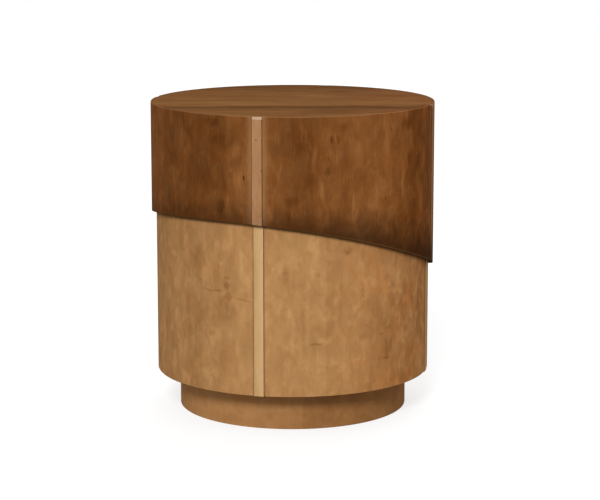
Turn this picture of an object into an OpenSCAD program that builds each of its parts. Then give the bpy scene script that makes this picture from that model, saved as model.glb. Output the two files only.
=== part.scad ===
// Drum side table: a round cabinet of curved panels on a recessed plinth.
// A dark layer with a bowed, slanting lower edge wraps the upper half of a lighter drum,
// and four pale strips cover the joints between the quarter panels.
// The origin is on the floor, on the drum's axis. -Y faces the viewer and +Z is up.
// Every turn is an angle about Z from the front (-Y), positive towards the right (+X).

/* [Overall] */
// Height from the floor to the table top
total_h = 553; // [480:1:640]
// Outer diameter of the dark layer
top_d = 508; // [440:1:600]
// Turn of the front strip from the front
strip_turn = -13.7; // [-45:0.1:45]

/* [Table top] */
// Thickness of the boards of the top
top_t = 22; // [16:0.5:32]
// Width of the rim that the dark panels leave around the top
lip_w = 2.5; // [1.5:0.1:5]
// Rounding of the rim's outer edge
rim_ease = 1.5; // [0.5:0.1:2.5]

/* [Dark layer] */
// How far the dark layer stands proud of the light drum
dark_step = 8.4; // [6:0.1:14]
// Height of the slanted edge's surface at the drum's axis
edge_mid_h = 319; // [270:1:360]
// Slope of the slanted edge
edge_tilt = 14.6; // [0:0.1:18]
// Turn of the edge's highest side
edge_turn = -47; // [-180:1:180]
// Radius of the slanted edge's bow
edge_bow_r = 2018; // [1200:1:4000]
// Turn of the line that the bow arches over
edge_bow_turn = 22.9; // [-90:0.1:90]

/* [Light drum] */
// Thickness of the light quarter panels
light_t = 9; // [6:0.1:15]
// Rounding of the drum's lower edge
light_ease = 1.2; // [0.4:0.1:3]

/* [Strips] */
// Width of the strips
strip_w = 17.4; // [12:0.1:30]
// How far a strip stands proud of the panels beside it
strip_proud = 1; // [0.4:0.1:2.5]
// Open line left on each side of a strip
strip_gap = 0.4; // [0.1:0.05:1]
// Chamfer along a strip's long edges
strip_ease = 0.6; // [0.2:0.1:1.2]
// Height of the bevel that caps an upper strip
cap_h = 4.5; // [2:0.1:8]
// Depth of the bevel that caps an upper strip
cap_d = 2.5; // [1:0.1:3]
// Drop of an upper strip's end below the table top
cap_drop = 0.5; // [0.2:0.1:2]

/* [Frame] */
// Width of a post
post_w = 56; // [40:1:80]
// Depth of a post, towards the axis
post_t = 30; // [24:1:45]
// Height of a rail
rail_h = 40; // [30:1:60]
// Depth of a rail, towards the axis
rail_t = 22; // [18:1:34]
// Height of the middle rails' centre line
mid_rail_z = 290; // [220:1:360]
// Thickness of the bottom deck
deck_t = 18; // [12:0.5:25]

/* [Plinth] */
// Height of the plinth
plinth_h = 68; // [60:1:90]
// How far the plinth stands back from the light drum
plinth_step = 40.3; // [24:0.1:60]
// Thickness of the plinth's curved panels
plinth_t = 15; // [10:0.5:20]
// Rounding of the plinth's lower edge
plinth_ease = 1; // [0.4:0.1:2.5]
// Turn of the plinth's front joint
plinth_turn = 5; // [-45:1:45]
// Width of a plinth block
block_w = 64; // [56:1:90]
// Depth of a plinth block, towards the axis
block_t = 42; // [36:1:60]

/* [Levellers] */
// Diameter of a leveller's pad
pad_d = 30; // [24:1:36]
// Height of a leveller's pad
pad_h = 9.5; // [8:0.1:12]
// Radius of the leveller's threaded stem
thread_r = 4; // [3.5:0.1:5]
// Length of thread above the nut
thread_spare = 18; // [14:1:24]
// Width across the corners of the leveller's hexagon
hex_w = 15; // [13:0.5:18]
// Height of the leveller's hexagon
hex_h = 4; // [3:0.5:6]

/* [Fixings] */
// Radius of a wood screw's shank
screw_r = 2; // [1.5:0.1:3]
// Radius of a wood screw's head
screw_head_r = 4; // [3.2:0.1:5.5]
// Radius of a dowel
dowel_r = 4; // [3:0.5:5]
// Length of a dowel
dowel_l = 30; // [20:1:40]

/* [Hidden] */
// Smoothness of the round shapes
$fn = 180;
bow_fn = 1440;

// Places of the strips and of the quarters between them
PLACES = ["front", "right", "back", "left"];
CORNERS = ["front_right", "back_right", "back_left", "front_left"];
BOARDS = ["front", "middle", "back"];
LAST = len(PLACES) - 1;
quarter = 360 / len(PLACES);

// Clearances and the overrun of every cut
glue_line = 0.15;
hole_gap = 0.1;
thread_gap = 0.05;
overrun = 5;

// Radii of the drum, from the outside in
dark_r = top_d / 2;
light_r = dark_r - dark_step;
shell_r = light_r - light_t;
frame_r = shell_r - glue_line;
rim_r = dark_r - lip_w;
board_r = rim_r - glue_line;
plinth_r = light_r - plinth_step;
plinth_in_r = plinth_r - plinth_t;
block_r = plinth_in_r - glue_line;

// Heights of the drum, from the floor up
deck_top = plinth_h + deck_t;
case_top = total_h - top_t;
top_rail_z = case_top - rail_h / 2;

// Faces of the strips, measured from the axis
lower_face = light_r + strip_proud;
upper_face = dark_r + strip_proud;
slot_w = strip_w + 2 * strip_gap;

// Boards of the top
board_w = 2 * board_r / len(BOARDS);

// Wood screws: head, point and the crossed recess of the driver
screw_head_h = screw_head_r - screw_r;
screw_tip_h = 2 * screw_r;
recess_w = 1.1;
recess_l = 4.6;
recess_d = 1.4;

// Screws up through the top rails into the boards, with their heads sunk in the rails
top_screw_sink = 14;
top_screw_bite = 15;
top_screw_l = rail_h - top_screw_sink + top_screw_bite;
top_screw_share = 0.28;
top_screws_at = frame_r - rail_t / 2;

// Screws up through the deck into the posts
post_screw_bite = 30;
post_screw_l = deck_t + post_screw_bite;
post_screws_at = frame_r - post_t / 2;

// Screws down through the deck into the plinth blocks, two in each
plinth_screw_bite = 22;
plinth_screw_l = deck_t + plinth_screw_bite;
plinth_screw_share = 0.34;

// Dowels, two in each end of a rail
dowel_pitch = rail_h / 2;
dowels_at = frame_r - rail_t / 2;

// Levellers: the pad stands on the floor, the hexagon is above it, then the nut and the block
pivot_r = 3.5;
pivot_rim_r = 5.2;
pivot_rim_h = 2;
pivot_floor = 2.5;
pad_edge_h = 3;
pad_neck_r = 9;
hex_gap = 0.8;
nut_room = 0.3;
nut_flange_r = 11;
nut_flange_t = 1.6;
nut_wall = 1.5;
nut_l = 9;
nut_r = thread_r + nut_wall;
hex_z = pad_h + hex_gap;
flange_z = hex_z + hex_h + nut_room;
block_z = flange_z + nut_flange_t;
stem_top = block_z + nut_l + thread_spare;
stem_bore_gap = 0.6;
levellers_at = block_r - block_t / 2;

function strip_angle(i) = strip_turn + quarter * i;
function plinth_angle(i) = plinth_turn + quarter * i;

// Puts its children at a turn from the front, at a distance from the axis
module at_turn(turn, distance = 0) {
    rotate([0, 0, turn])
        translate([0, -distance, 0])
            children();
}

// Sweeps a profile through the quarter that starts at a turn
module quarter_sweep(turn) {
    rotate([0, 0, turn - 90])
        rotate_extrude(angle = quarter)
            children();
}

// Profile of a curved panel, with its outer corners rounded
module panel_profile(r_in, r_out, z_low, z_high, low_ease, high_ease) {
    translate([r_in, z_low])
        square([r_out - r_in - max(low_ease, high_ease), z_high - z_low]);
    translate([r_in, z_low + low_ease])
        square([r_out - r_in, z_high - z_low - low_ease - high_ease]);
    if (low_ease > 0)
        translate([r_out - low_ease, z_low + low_ease])
            circle(r = low_ease);
    if (high_ease > 0)
        translate([r_out - high_ease, z_high - high_ease])
            circle(r = high_ease);
}

// Slots for the strips at both ends of a quarter
module strip_slots(i) {
    for (turn = [strip_angle(i), strip_angle(i + 1)])
        at_turn(turn, dark_r)
            translate([0, dark_r / 2, total_h / 2])
                cube([slot_w, dark_r + 2 * overrun, total_h + 2 * overrun], center = true);
}

// Everything below the bowed and slanted edge of the dark layer
module below_edge() {
    translate([0, 0, edge_mid_h])
        rotate([0, 0, edge_turn])
            rotate([-edge_tilt, 0, 0])
                rotate([0, 0, edge_bow_turn - edge_turn])
                    translate([0, 0, -edge_bow_r])
                        rotate([90, 0, 0])
                            cylinder(r = edge_bow_r, h = 2 * top_d, center = true, $fn = bow_fn);
}

// A wood screw that points up, with its head's flat face at the origin
module screw(length) {
    difference() {
        union() {
            cylinder(h = screw_head_h, r1 = screw_head_r, r2 = screw_r);
            cylinder(h = length - screw_tip_h, r = screw_r);
            translate([0, 0, length - screw_tip_h])
                cylinder(h = screw_tip_h, r1 = screw_r, r2 = 0);
        }
        for (turn = [0, 90])
            rotate([0, 0, turn])
                translate([0, 0, recess_d / 2])
                    cube([recess_w, recess_l, recess_d], center = true);
    }
}

// The hole that a wood screw lies in, open below its head
module screw_hole(length, sink = 0) {
    translate([0, 0, -sink - overrun])
        cylinder(h = sink + overrun, r = screw_head_r + hole_gap);
    cylinder(h = screw_head_h, r1 = screw_head_r + hole_gap, r2 = screw_r + hole_gap);
    cylinder(h = length + hole_gap, r = screw_r + hole_gap);
}

// Screws of the top, two in each top rail
module at_top_screws(i) {
    for (side = [-1, 1])
        at_turn(strip_angle(i) + quarter / 2 + side * quarter * top_screw_share, top_screws_at)
            translate([0, 0, case_top - rail_h + top_screw_sink])
                children();
}

// Screws of the plinth blocks, on both sides of the leveller
module at_plinth_screws(i) {
    for (side = [-1, 1])
        at_turn(plinth_angle(i), levellers_at)
            translate([side * block_w * plinth_screw_share, 0, deck_top])
                rotate([180, 0, 0])
                    children();
}

// Dowels on both sides of a post, at a rail's height
module at_dowels(i, rail_z, sides = [-1, 1]) {
    for (side = sides, level = [-1, 1])
        at_turn(strip_angle(i), dowels_at)
            translate([side * post_w / 2, 0, rail_z + level * dowel_pitch / 2])
                rotate([0, 90, 0])
                    children();
}

// A dowel's hole, half in the rail and half in the post
module dowel_hole() {
    cylinder(h = dowel_l + 2 * hole_gap, r = dowel_r + hole_gap, center = true);
}

// The whole disc of the top, with the screws' pilot holes
module top_disc() {
    difference() {
        translate([0, 0, case_top])
            cylinder(h = top_t, r = board_r);
        for (i = [0 : LAST])
            at_top_screws(i)
                screw_hole(top_screw_l);
    }
}

// One board of the top, cut from the disc
module top_board(b) {
    color("#83562f")
        intersection() {
            top_disc();
            translate([-board_r, -board_r + b * board_w, case_top - overrun])
                cube([2 * board_r, board_w, top_t + 2 * overrun]);
        }
}

// A dark quarter panel: rebated for the top and cut along the slanted edge
module dark_panel(i) {
    color("#7c4a24")
        difference() {
            quarter_sweep(strip_angle(i))
                difference() {
                    panel_profile(light_r + glue_line, dark_r, plinth_h, total_h, 0, rim_ease);
                    translate([0, case_top])
                        square([rim_r, top_t + overrun]);
                }
            strip_slots(i);
            below_edge();
        }
}

// A strip's plan, from its front face back to the axis
module strip_plan(face) {
    half = strip_w / 2;
    polygon([
        [-half, 0],
        [-half, -face + strip_ease],
        [-half + strip_ease, -face],
        [half - strip_ease, -face],
        [half, -face + strip_ease],
        [half, 0],
    ]);
}

// An upper strip: on the lower strip and against the top, with a bevelled cap
module upper_strip(i) {
    strip_top = total_h - cap_drop;
    color("#b78b62")
        difference() {
            at_turn(strip_angle(i))
                difference() {
                    translate([0, 0, plinth_h])
                        linear_extrude(height = strip_top - plinth_h)
                            strip_plan(upper_face);
                    translate([-strip_w, -lower_face, 0])
                        cube([2 * strip_w, lower_face + overrun, case_top]);
                    translate([0, 0, case_top])
                        cylinder(h = top_t + overrun, r = rim_r);
                    translate([0, -upper_face, strip_top])
                        rotate([90, 0, 90])
                            linear_extrude(height = 2 * strip_w, center = true)
                                polygon([[-overrun, -cap_h], [0, -cap_h], [cap_d, 0],
                                         [cap_d, overrun], [-overrun, overrun]]);
                }
            below_edge();
        }
}

// A light quarter panel, the drum's full height
module light_panel(i) {
    color("#b58653")
        difference() {
            quarter_sweep(strip_angle(i))
                panel_profile(shell_r, light_r, plinth_h, case_top, light_ease, 0);
            strip_slots(i);
        }
}

// A lower strip, the drum's full height, with its back curved to the frame
module lower_strip(i) {
    color("#c9a873")
        at_turn(strip_angle(i))
            difference() {
                translate([0, 0, plinth_h])
                    linear_extrude(height = case_top - plinth_h)
                        strip_plan(lower_face);
                translate([0, 0, plinth_h - overrun])
                    cylinder(h = total_h, r = shell_r);
            }
}

// A post behind a strip, from the deck to the top
module post(i) {
    color("#c2a071")
        difference() {
            at_turn(strip_angle(i))
                intersection() {
                    translate([-post_w / 2, -frame_r, deck_top])
                        cube([post_w, post_t, case_top - deck_top]);
                    translate([0, 0, deck_top])
                        cylinder(h = case_top - deck_top, r = frame_r);
                }
            at_turn(strip_angle(i), post_screws_at)
                translate([0, 0, plinth_h])
                    screw_hole(post_screw_l);
            for (rail_z = [mid_rail_z, top_rail_z])
                at_dowels(i, rail_z)
                    dowel_hole();
        }
}

// A curved rail that runs from post to post
module rail(i, rail_z) {
    difference() {
        quarter_sweep(strip_angle(i))
            translate([frame_r - rail_t, rail_z - rail_h / 2])
                square([rail_t, rail_h]);
        for (turn = [strip_angle(i), strip_angle(i + 1)])
            at_turn(turn, frame_r)
                translate([0, 0, rail_z])
                    cube([post_w, 2 * frame_r, rail_h + 2 * overrun], center = true);
        at_dowels(i, rail_z, [1])
            dowel_hole();
        at_dowels(i + 1, rail_z, [-1])
            dowel_hole();
    }
}

module middle_rail(i) {
    color("#b89466")
        rail(i, mid_rail_z);
}

// A top rail, with deep holes for the screws of the top
module top_rail(i) {
    color("#b89466")
        difference() {
            rail(i, top_rail_z);
            at_top_screws(i)
                screw_hole(top_screw_l, top_screw_sink);
        }
}

// The deck that closes the drum and carries the posts
module bottom_deck() {
    color("#cdb387")
        difference() {
            translate([0, 0, plinth_h])
                cylinder(h = deck_t, r = frame_r);
            for (i = [0 : LAST]) {
                at_turn(strip_angle(i), post_screws_at)
                    translate([0, 0, plinth_h])
                        screw_hole(post_screw_l);
                at_plinth_screws(i)
                    screw_hole(plinth_screw_l);
            }
        }
}

module plinth_panel(i) {
    color("#9c6c40")
        quarter_sweep(plinth_angle(i))
            panel_profile(plinth_in_r, plinth_r, 0, plinth_h, plinth_ease, 0);
}

// A block behind a joint of the plinth, bored for the leveller and its nut
module plinth_block(i) {
    color("#c2a071")
        difference() {
            at_turn(plinth_angle(i))
                intersection() {
                    translate([-block_w / 2, -block_r, block_z])
                        cube([block_w, block_t, plinth_h - block_z]);
                    translate([0, 0, block_z])
                        cylinder(h = plinth_h - block_z, r = block_r);
                }
            at_turn(plinth_angle(i), levellers_at) {
                translate([0, 0, block_z - overrun])
                    cylinder(h = plinth_h, r = thread_r + stem_bore_gap);
                translate([0, 0, block_z - overrun])
                    cylinder(h = overrun + nut_l, r = nut_r + hole_gap);
            }
            at_plinth_screws(i)
                screw_hole(plinth_screw_l);
        }
}

// A leveller's threaded stem, with the hexagon that turns it and the pivot held by the pad
module leveller_stem(i) {
    color("#b4b6b8")
        at_turn(plinth_angle(i), levellers_at) {
            translate([0, 0, pivot_floor])
                cylinder(h = pivot_rim_h, r = pivot_rim_r);
            translate([0, 0, pivot_floor])
                cylinder(h = hex_z - pivot_floor, r = pivot_r);
            translate([0, 0, hex_z])
                cylinder(h = hex_h, r = hex_w / 2, $fn = 6);
            translate([0, 0, hex_z])
                cylinder(h = stem_top - hex_z, r = thread_r);
        }
}

// A leveller's pad, which stands still while the stem turns in it
module leveller_pad(i) {
    pad_r = pad_d / 2;
    color("#2b2b2c")
        at_turn(plinth_angle(i), levellers_at)
            rotate_extrude()
                difference() {
                    polygon([[0, 0], [pad_r, 0], [pad_r, pad_edge_h], [pad_neck_r, pad_h], [0, pad_h]]);
                    translate([0, pivot_floor - hole_gap])
                        square([pivot_rim_r + hole_gap, pivot_rim_h + 2 * hole_gap]);
                    translate([0, pivot_floor])
                        square([pivot_r + hole_gap, pad_h]);
                }
}

// The nuts in the plinth blocks
module leveller_nuts() {
    color("#a9abad")
        for (i = [0 : LAST])
            at_turn(plinth_angle(i), levellers_at)
                difference() {
                    union() {
                        translate([0, 0, flange_z])
                            cylinder(h = nut_flange_t, r = nut_flange_r);
                        translate([0, 0, flange_z])
                            cylinder(h = nut_flange_t + nut_l - hole_gap, r = nut_r);
                    }
                    translate([0, 0, flange_z - overrun])
                        cylinder(h = nut_l + 2 * overrun, r = thread_r + thread_gap);
                }
}

module rail_dowels() {
    color("#d3b98c")
        for (i = [0 : LAST], rail_z = [mid_rail_z, top_rail_z])
            at_dowels(i, rail_z)
                cylinder(h = dowel_l, r = dowel_r, center = true);
}

module top_screws() {
    color("#a8a59a")
        for (i = [0 : LAST])
            at_top_screws(i)
                screw(top_screw_l);
}

module post_screws() {
    color("#a8a59a")
        for (i = [0 : LAST])
            at_turn(strip_angle(i), post_screws_at)
                translate([0, 0, plinth_h])
                    screw(post_screw_l);
}

module plinth_screws() {
    color("#a8a59a")
        for (i = [0 : LAST])
            at_plinth_screws(i)
                screw(plinth_screw_l);
}

for (b = [0 : len(BOARDS) - 1])
    top_board(b);

for (i = [0 : LAST]) {
    dark_panel(i);
    upper_strip(i);
    light_panel(i);
    lower_strip(i);
    post(i);
    top_rail(i);
    middle_rail(i);
    plinth_panel(i);
    plinth_block(i);
    leveller_stem(i);
    leveller_pad(i);
}

bottom_deck();
leveller_nuts();
rail_dowels();
top_screws();
post_screws();
plinth_screws();
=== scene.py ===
"""Looks of the drum side table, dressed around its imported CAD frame.

The scene is in metres, in the CAD model's own axes: the origin is on the floor on the drum's
axis, -Y faces the viewer and +Z is up. The sizes that the classes hold are in millimetres. A turn
is an angle about Z from the front, in degrees, positive towards the right (+X).
"""

import logging
import math
from collections.abc import Callable
from dataclasses import dataclass
from enum import Enum

import bmesh
import bpy
from mathutils import Matrix, Vector


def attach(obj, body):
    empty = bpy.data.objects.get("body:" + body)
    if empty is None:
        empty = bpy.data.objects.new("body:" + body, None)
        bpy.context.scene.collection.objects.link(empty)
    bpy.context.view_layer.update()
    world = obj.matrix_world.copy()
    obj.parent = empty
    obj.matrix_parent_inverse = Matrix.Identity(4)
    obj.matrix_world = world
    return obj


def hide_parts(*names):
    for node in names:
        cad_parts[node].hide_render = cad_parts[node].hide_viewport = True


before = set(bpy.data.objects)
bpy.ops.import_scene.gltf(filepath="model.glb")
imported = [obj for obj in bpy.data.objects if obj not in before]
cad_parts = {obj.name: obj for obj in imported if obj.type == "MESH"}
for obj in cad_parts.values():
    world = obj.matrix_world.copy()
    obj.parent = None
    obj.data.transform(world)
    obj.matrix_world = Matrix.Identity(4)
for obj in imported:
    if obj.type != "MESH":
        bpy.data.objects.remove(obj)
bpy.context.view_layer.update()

# Short names for types: two levels or sizes, a place or a step, a test of a part's centre and its
# direction, and a value that a node gives or takes.
Pair = tuple[float, float]
Point = tuple[float, float, float]
Test = Callable[[Vector, Vector], bool]
Socket = bpy.types.NodeSocket

MM = 0.001
TABLE_BODY = "table"
# Distances, in mm, within which a point lies on a plane and within which it lies at a panel's rim.
NEAR = 0.1
RIM_REACH = 0.5
# Least part of a direction along an axis that makes it run that way, and most that leaves it level.
ALONG = 0.9
LEVEL = 0.1
# Levels that most of a noise's values lie between.
NOISE_SPAN = (0.3, 0.7)
# Settings that nodes share: levels that change softly, and colours in place of numbers.
SOFTLY = {"interpolation_type": "SMOOTHSTEP"}
COLOURED = {"data_type": "RGBA"}
log = logging.getLogger("side_table")


class Place(Enum):
    """The four strips and levellers, counted from the front towards the right."""

    FRONT = 0
    RIGHT = 1
    BACK = 2
    LEFT = 3


class Corner(Enum):
    """The four quarters, each counted from the place where it starts."""

    FRONT_RIGHT = 0
    BACK_RIGHT = 1
    BACK_LEFT = 2
    FRONT_LEFT = 3


class Board(Enum):
    """The boards of the top, counted from the front."""

    FRONT = 0
    MIDDLE = 1
    BACK = 2


class Grain(Enum):
    """The way the grain runs, as the axes along which the figure is drawn out."""

    UPRIGHT = (False, False, True)
    ALONG_X = (True, False, False)
    AROUND = (True, True, False)


class Across(Enum):
    """What the bands of tone of a surface are laid across."""

    TURN = "turn"
    DEPTH = "depth"


def node_of(kind: str, which: Enum) -> str:
    """Gives the CAD node of a kind of piece at a place, such as post_front."""
    return kind + "_" + which.name.lower()


def on_turn(turn: float, out: float, z: float) -> Vector:
    """Gives a point at a turn, a distance from the axis and a height, all in mm.

    Args:
        turn: Turn of the point.
        out: Distance from the drum's axis.
        z: Height above the floor.

    Returns:
        The point in the CAD model's axes.
    """
    return Matrix.Rotation(math.radians(turn), 3, "Z") @ Vector((0, -out, z))


def radius_of(point: Vector) -> float:
    """Gives a point's distance from the drum's axis."""
    return math.hypot(point.x, point.y)


@dataclass(frozen=True)
class Drum:
    """Sizes that the sub-assemblies share, in millimetres and degrees.

    Attributes:
        height: Height of the table.
        dark_r: Outer radius of the dark layer.
        light_r: Outer radius of the light drum.
        shell_r: Its inner radius.
        rim_r: Inner radius of the dark layer's rim, round the top.
        board_r: Radius of the top's boards.
        plinth_r: Outer radius of the plinth.
        plinth_in_r: Its inner radius.
        levellers_at: Distance of the levelling feet from the axis.
        case_top: Height of the light drum's upper end, which carries the top.
        plinth_h: Height of the plinth.
        glue_line: Gap between the dark layer and the light drum.
        strip_w: Width of the strips.
        strip_gap: Gap between a strip and the panels beside it.
        strip_proud: How far the strips stand out of the panels.
        strip_turn: Turn of the front strip's middle.
        plinth_turn: Turn of the plinth's front joint.
        quarter: Turn from one strip or joint to the next.
        quarter_steps: Number of facets of a quarter.
        blank_foot: Height where the pieces that the slanted cut trims start.
        foot_band: Height of the band that holds their feet.
    """

    height: float = 553
    dark_r: float = 254
    light_r: float = 245.6
    shell_r: float = 236.6
    rim_r: float = 251.5
    board_r: float = 251.35
    plinth_r: float = 205.3
    plinth_in_r: float = 190.3
    levellers_at: float = 169.15
    case_top: float = 531
    plinth_h: float = 68
    glue_line: float = 0.15
    strip_w: float = 17.4
    strip_gap: float = 0.4
    strip_proud: float = 1
    strip_turn: float = -13.7
    plinth_turn: float = 5
    quarter: float = 90
    quarter_steps: int = 48
    blank_foot: float = 200
    foot_band: float = 1

    @property
    def slot_half(self) -> float:
        """Half the width of the slot that a strip lies in."""
        return self.strip_w / 2 + self.strip_gap

    @property
    def foot_line(self) -> float:
        """Height that only the foot of a piece that the slanted cut will trim is below."""
        return self.blank_foot + self.foot_band


@dataclass(frozen=True)
class SlantedEdge:
    """The cut below the dark layer: a slanting face, bowed about one long axis.

    Attributes:
        mid_h: Its height over the drum's axis, in mm.
        tilt: Its slope, in degrees.
        turn: Turn towards which it rises.
        bow_r: Radius of the bow, in mm.
        bow_turn: Turn of the bow's axis.
        cutter_l: Length of the bar whose skin it is, in mm.
        cutter_sides: Number of the bar's sides.
    """

    mid_h: float = 319
    tilt: float = 14.6
    turn: float = -47
    bow_r: float = 2018
    bow_turn: float = 22.9
    cutter_l: float = 1100
    cutter_sides: int = 1440

    @property
    def turned(self) -> Matrix:
        """Gives the turn of the cut's own axes, with the bow's axis along Y.

        Returns:
            The turn, to be used on places in the cut's own axes.
        """
        return (Matrix.Rotation(math.radians(self.turn), 4, "Z")
                @ Matrix.Rotation(math.radians(-self.tilt), 4, "X")
                @ Matrix.Rotation(math.radians(self.bow_turn - self.turn), 4, "Z"))

    def cutter(self) -> bpy.types.Object:
        """Makes the round bar whose skin is the cut.

        Returns:
            The bar, which is thrown away when the pieces lie on it.
        """
        deselect()
        bpy.ops.mesh.primitive_cylinder_add(
            vertices=self.cutter_sides, radius=self.bow_r * MM, depth=self.cutter_l * MM,
            rotation=(math.radians(90), 0, 0))
        bar = bpy.context.object
        bar.name = "cutter"
        sunk = Matrix.Translation((0, 0, -self.bow_r * MM))
        bar.matrix_world = Matrix.Translation((0, 0, self.mid_h * MM)) @ self.turned @ sunk @ bar.matrix_world
        bpy.ops.object.transform_apply(location=True, rotation=True, scale=True)
        return bar


def deselect() -> None:
    """Deselects every object."""
    bpy.ops.object.select_all(action="DESELECT")


class Blank:
    """A piece on the bench: a primitive that edit-mode steps shape into its final form."""

    # Distance, in mm, at which doubled points are merged, and facets across a broken edge.
    MERGE = 0.01
    FACETS = 2

    def __init__(self, name: str, thing: bpy.types.Object | None = None) -> None:
        """Takes over a mesh and puts its place, turn and scale into its points.

        Args:
            name: Name of the piece.
            thing: The mesh object. Without one it is the primitive that was just added.
        """
        self.thing = thing or bpy.context.object
        self.thing.name = name
        self.thing.data.name = name
        self.settle()

    @classmethod
    def block(cls, name: str, low: Point, high: Point) -> "Blank":
        """Starts from a cube.

        Args:
            name: Name of the piece.
            low: Lowest corner, in mm.
            high: Highest corner, in mm.

        Returns:
            The block on the bench.
        """
        deselect()
        bpy.ops.mesh.primitive_cube_add(size=1, location=(Vector(low) + Vector(high)) / 2 * MM)
        bpy.context.object.scale = (Vector(high) - Vector(low)) * MM
        return cls(name)

    @classmethod
    def profile(cls, name: str, r_in: float, r_out: float, z_low: float, z_high: float) -> "Blank":
        """Starts from an upright rectangle at the front, which a spin makes a curved panel.

        Args:
            name: Name of the piece.
            r_in: Inner radius, in mm.
            r_out: Outer radius, in mm.
            z_low: Lower end, in mm.
            z_high: Upper end, in mm.

        Returns:
            The rectangle on the bench.
        """
        deselect()
        middle = Vector((0, -(r_in + r_out) / 2, (z_low + z_high) / 2)) * MM
        upright = (math.radians(90), 0, math.radians(90))
        bpy.ops.mesh.primitive_plane_add(size=1, location=middle, rotation=upright)
        bpy.context.object.scale = ((r_out - r_in) * MM, (z_high - z_low) * MM, 1)
        return cls(name)

    @classmethod
    def turned(cls, name: str, sides: int, outline: list[Pair]) -> "Blank":
        """Starts from a disc and draws it up along the Z axis as on a lathe.

        Args:
            name: Name of the piece.
            sides: Number of sides.
            outline: Radius and height of each step, in mm, from the bottom up.

        Returns:
            The turned piece on the bench.
        """
        deselect()
        radius, z = outline[0]
        bpy.ops.mesh.primitive_circle_add(
            vertices=sides, radius=radius * MM, fill_type="NGON", location=(0, 0, z * MM))
        piece = cls(name)
        piece.pick("FACE", lambda centre, normal: True)
        for new_radius, new_z in outline[1:]:
            bpy.ops.mesh.extrude_region_move(
                TRANSFORM_OT_translate={"value": (0, 0, (new_z - z) * MM)})
            share = new_radius / radius
            bpy.ops.transform.resize(value=(share, share, 1), center_override=(0, 0, new_z * MM))
            radius, z = new_radius, new_z
        piece.close()
        piece.turn_faces_out()
        return piece

    def activate(self) -> None:
        """Makes this piece the one that is selected."""
        deselect()
        self.thing.select_set(True)
        bpy.context.view_layer.objects.active = self.thing

    def settle(self) -> None:
        """Puts the object's place, turn and scale into its points."""
        self.activate()
        bpy.ops.object.transform_apply(location=True, rotation=True, scale=True)

    def pick(self, kind: str, wanted: Test) -> None:
        """Opens edit mode and selects the parts that pass a test.

        Args:
            kind: VERT, EDGE or FACE.
            wanted: Test of a part's centre, in mm, and its normal, or an edge's direction.
        """
        self.activate()
        bpy.ops.object.mode_set(mode="EDIT")
        bpy.ops.mesh.select_mode(type=kind)
        bpy.ops.mesh.select_all(action="DESELECT")
        mesh = bmesh.from_edit_mesh(self.thing.data)
        mesh.normal_update()
        if kind == "VERT":
            for vert in mesh.verts:
                vert.select_set(wanted(vert.co / MM, vert.normal))
        elif kind == "EDGE":
            for edge in mesh.edges:
                start, end = (vert.co / MM for vert in edge.verts)
                edge.select_set(wanted((start + end) / 2, (end - start).normalized()))
        else:
            for face in mesh.faces:
                face.select_set(wanted(face.calc_center_median() / MM, face.normal))
        mesh.select_flush_mode()
        bmesh.update_edit_mesh(self.thing.data)

    def close(self) -> None:
        """Leaves edit mode."""
        bpy.ops.object.mode_set(mode="OBJECT")

    def turn_faces_out(self) -> None:
        """Merges doubled points and turns every face outwards."""
        self.activate()
        bpy.ops.object.mode_set(mode="EDIT")
        bpy.ops.mesh.select_all(action="SELECT")
        bpy.ops.mesh.remove_doubles(threshold=self.MERGE * MM)
        bpy.ops.mesh.normals_make_consistent(inside=False)
        self.close()

    def extrude(self, kind: str, wanted: Test, step: Point) -> None:
        """Draws out the parts that pass a test.

        Args:
            kind: EDGE or FACE.
            wanted: Test of a part's centre, in mm, and its normal, or an edge's direction.
            step: How far they are drawn out, in mm.
        """
        self.pick(kind, wanted)
        bpy.ops.mesh.extrude_region_move(TRANSFORM_OT_translate={"value": Vector(step) * MM})
        self.close()

    def round_rim(self, z: float, radius: float, width: float, segments: int) -> None:
        """Rounds the level edges along the outer rim of a curved panel.

        Args:
            z: Height of the rim, in mm.
            radius: The panel's outer radius, in mm.
            width: Width of the rounding, in mm.
            segments: Number of facets across it.
        """
        self.pick("EDGE", lambda centre, way: abs(centre.z - z) < NEAR
                  and radius_of(centre) > radius - RIM_REACH and abs(way.z) < LEVEL)
        bpy.ops.mesh.bevel(offset=width * MM, segments=segments, affect="EDGES")
        self.close()

    def cut(self, point: Point, normal: Point, keep_both: bool = False) -> None:
        """Cuts the piece with a plane and closes the cut.

        Args:
            point: A point of the plane, in mm.
            normal: The plane's normal, on the side that falls away.
            keep_both: Leaves both sides, with a line of edges between them.
        """
        self.pick("VERT", lambda centre, way: True)
        bpy.ops.mesh.bisect(plane_co=Vector(point) * MM, plane_no=Vector(normal).normalized(),
                            use_fill=not keep_both, clear_outer=not keep_both)
        self.close()

    def spin(self, angle: float, steps: int) -> None:
        """Spins the profile about the drum's axis, from the front towards the right.

        Args:
            angle: Angle of the spin, in degrees.
            steps: Number of steps in it.
        """
        self.pick("FACE", lambda centre, normal: True)
        bpy.ops.mesh.spin(steps=steps, angle=math.radians(angle), center=(0, 0, 0), axis=(0, 0, -1))
        self.close()
        self.turn_faces_out()

    def lay_on(self, cutter: bpy.types.Object, below: float) -> None:
        """Moves the points below a height straight up on to the cut.

        Args:
            cutter: The bar whose skin is the cut.
            below: Height, in mm, that only the foot of the piece is below.
        """
        group = self.thing.vertex_groups.new(name="foot")
        self.pick("VERT", lambda centre, way: centre.z < below)
        bpy.ops.object.vertex_group_assign()
        self.close()
        wrap = self.thing.modifiers.new("lie on the cut", "SHRINKWRAP")
        wrap.wrap_method = "PROJECT"
        wrap.target = cutter
        wrap.vertex_group = group.name
        wrap.use_project_z = True
        wrap.use_positive_direction = True
        self.apply(wrap)
        self.thing.vertex_groups.clear()

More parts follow.
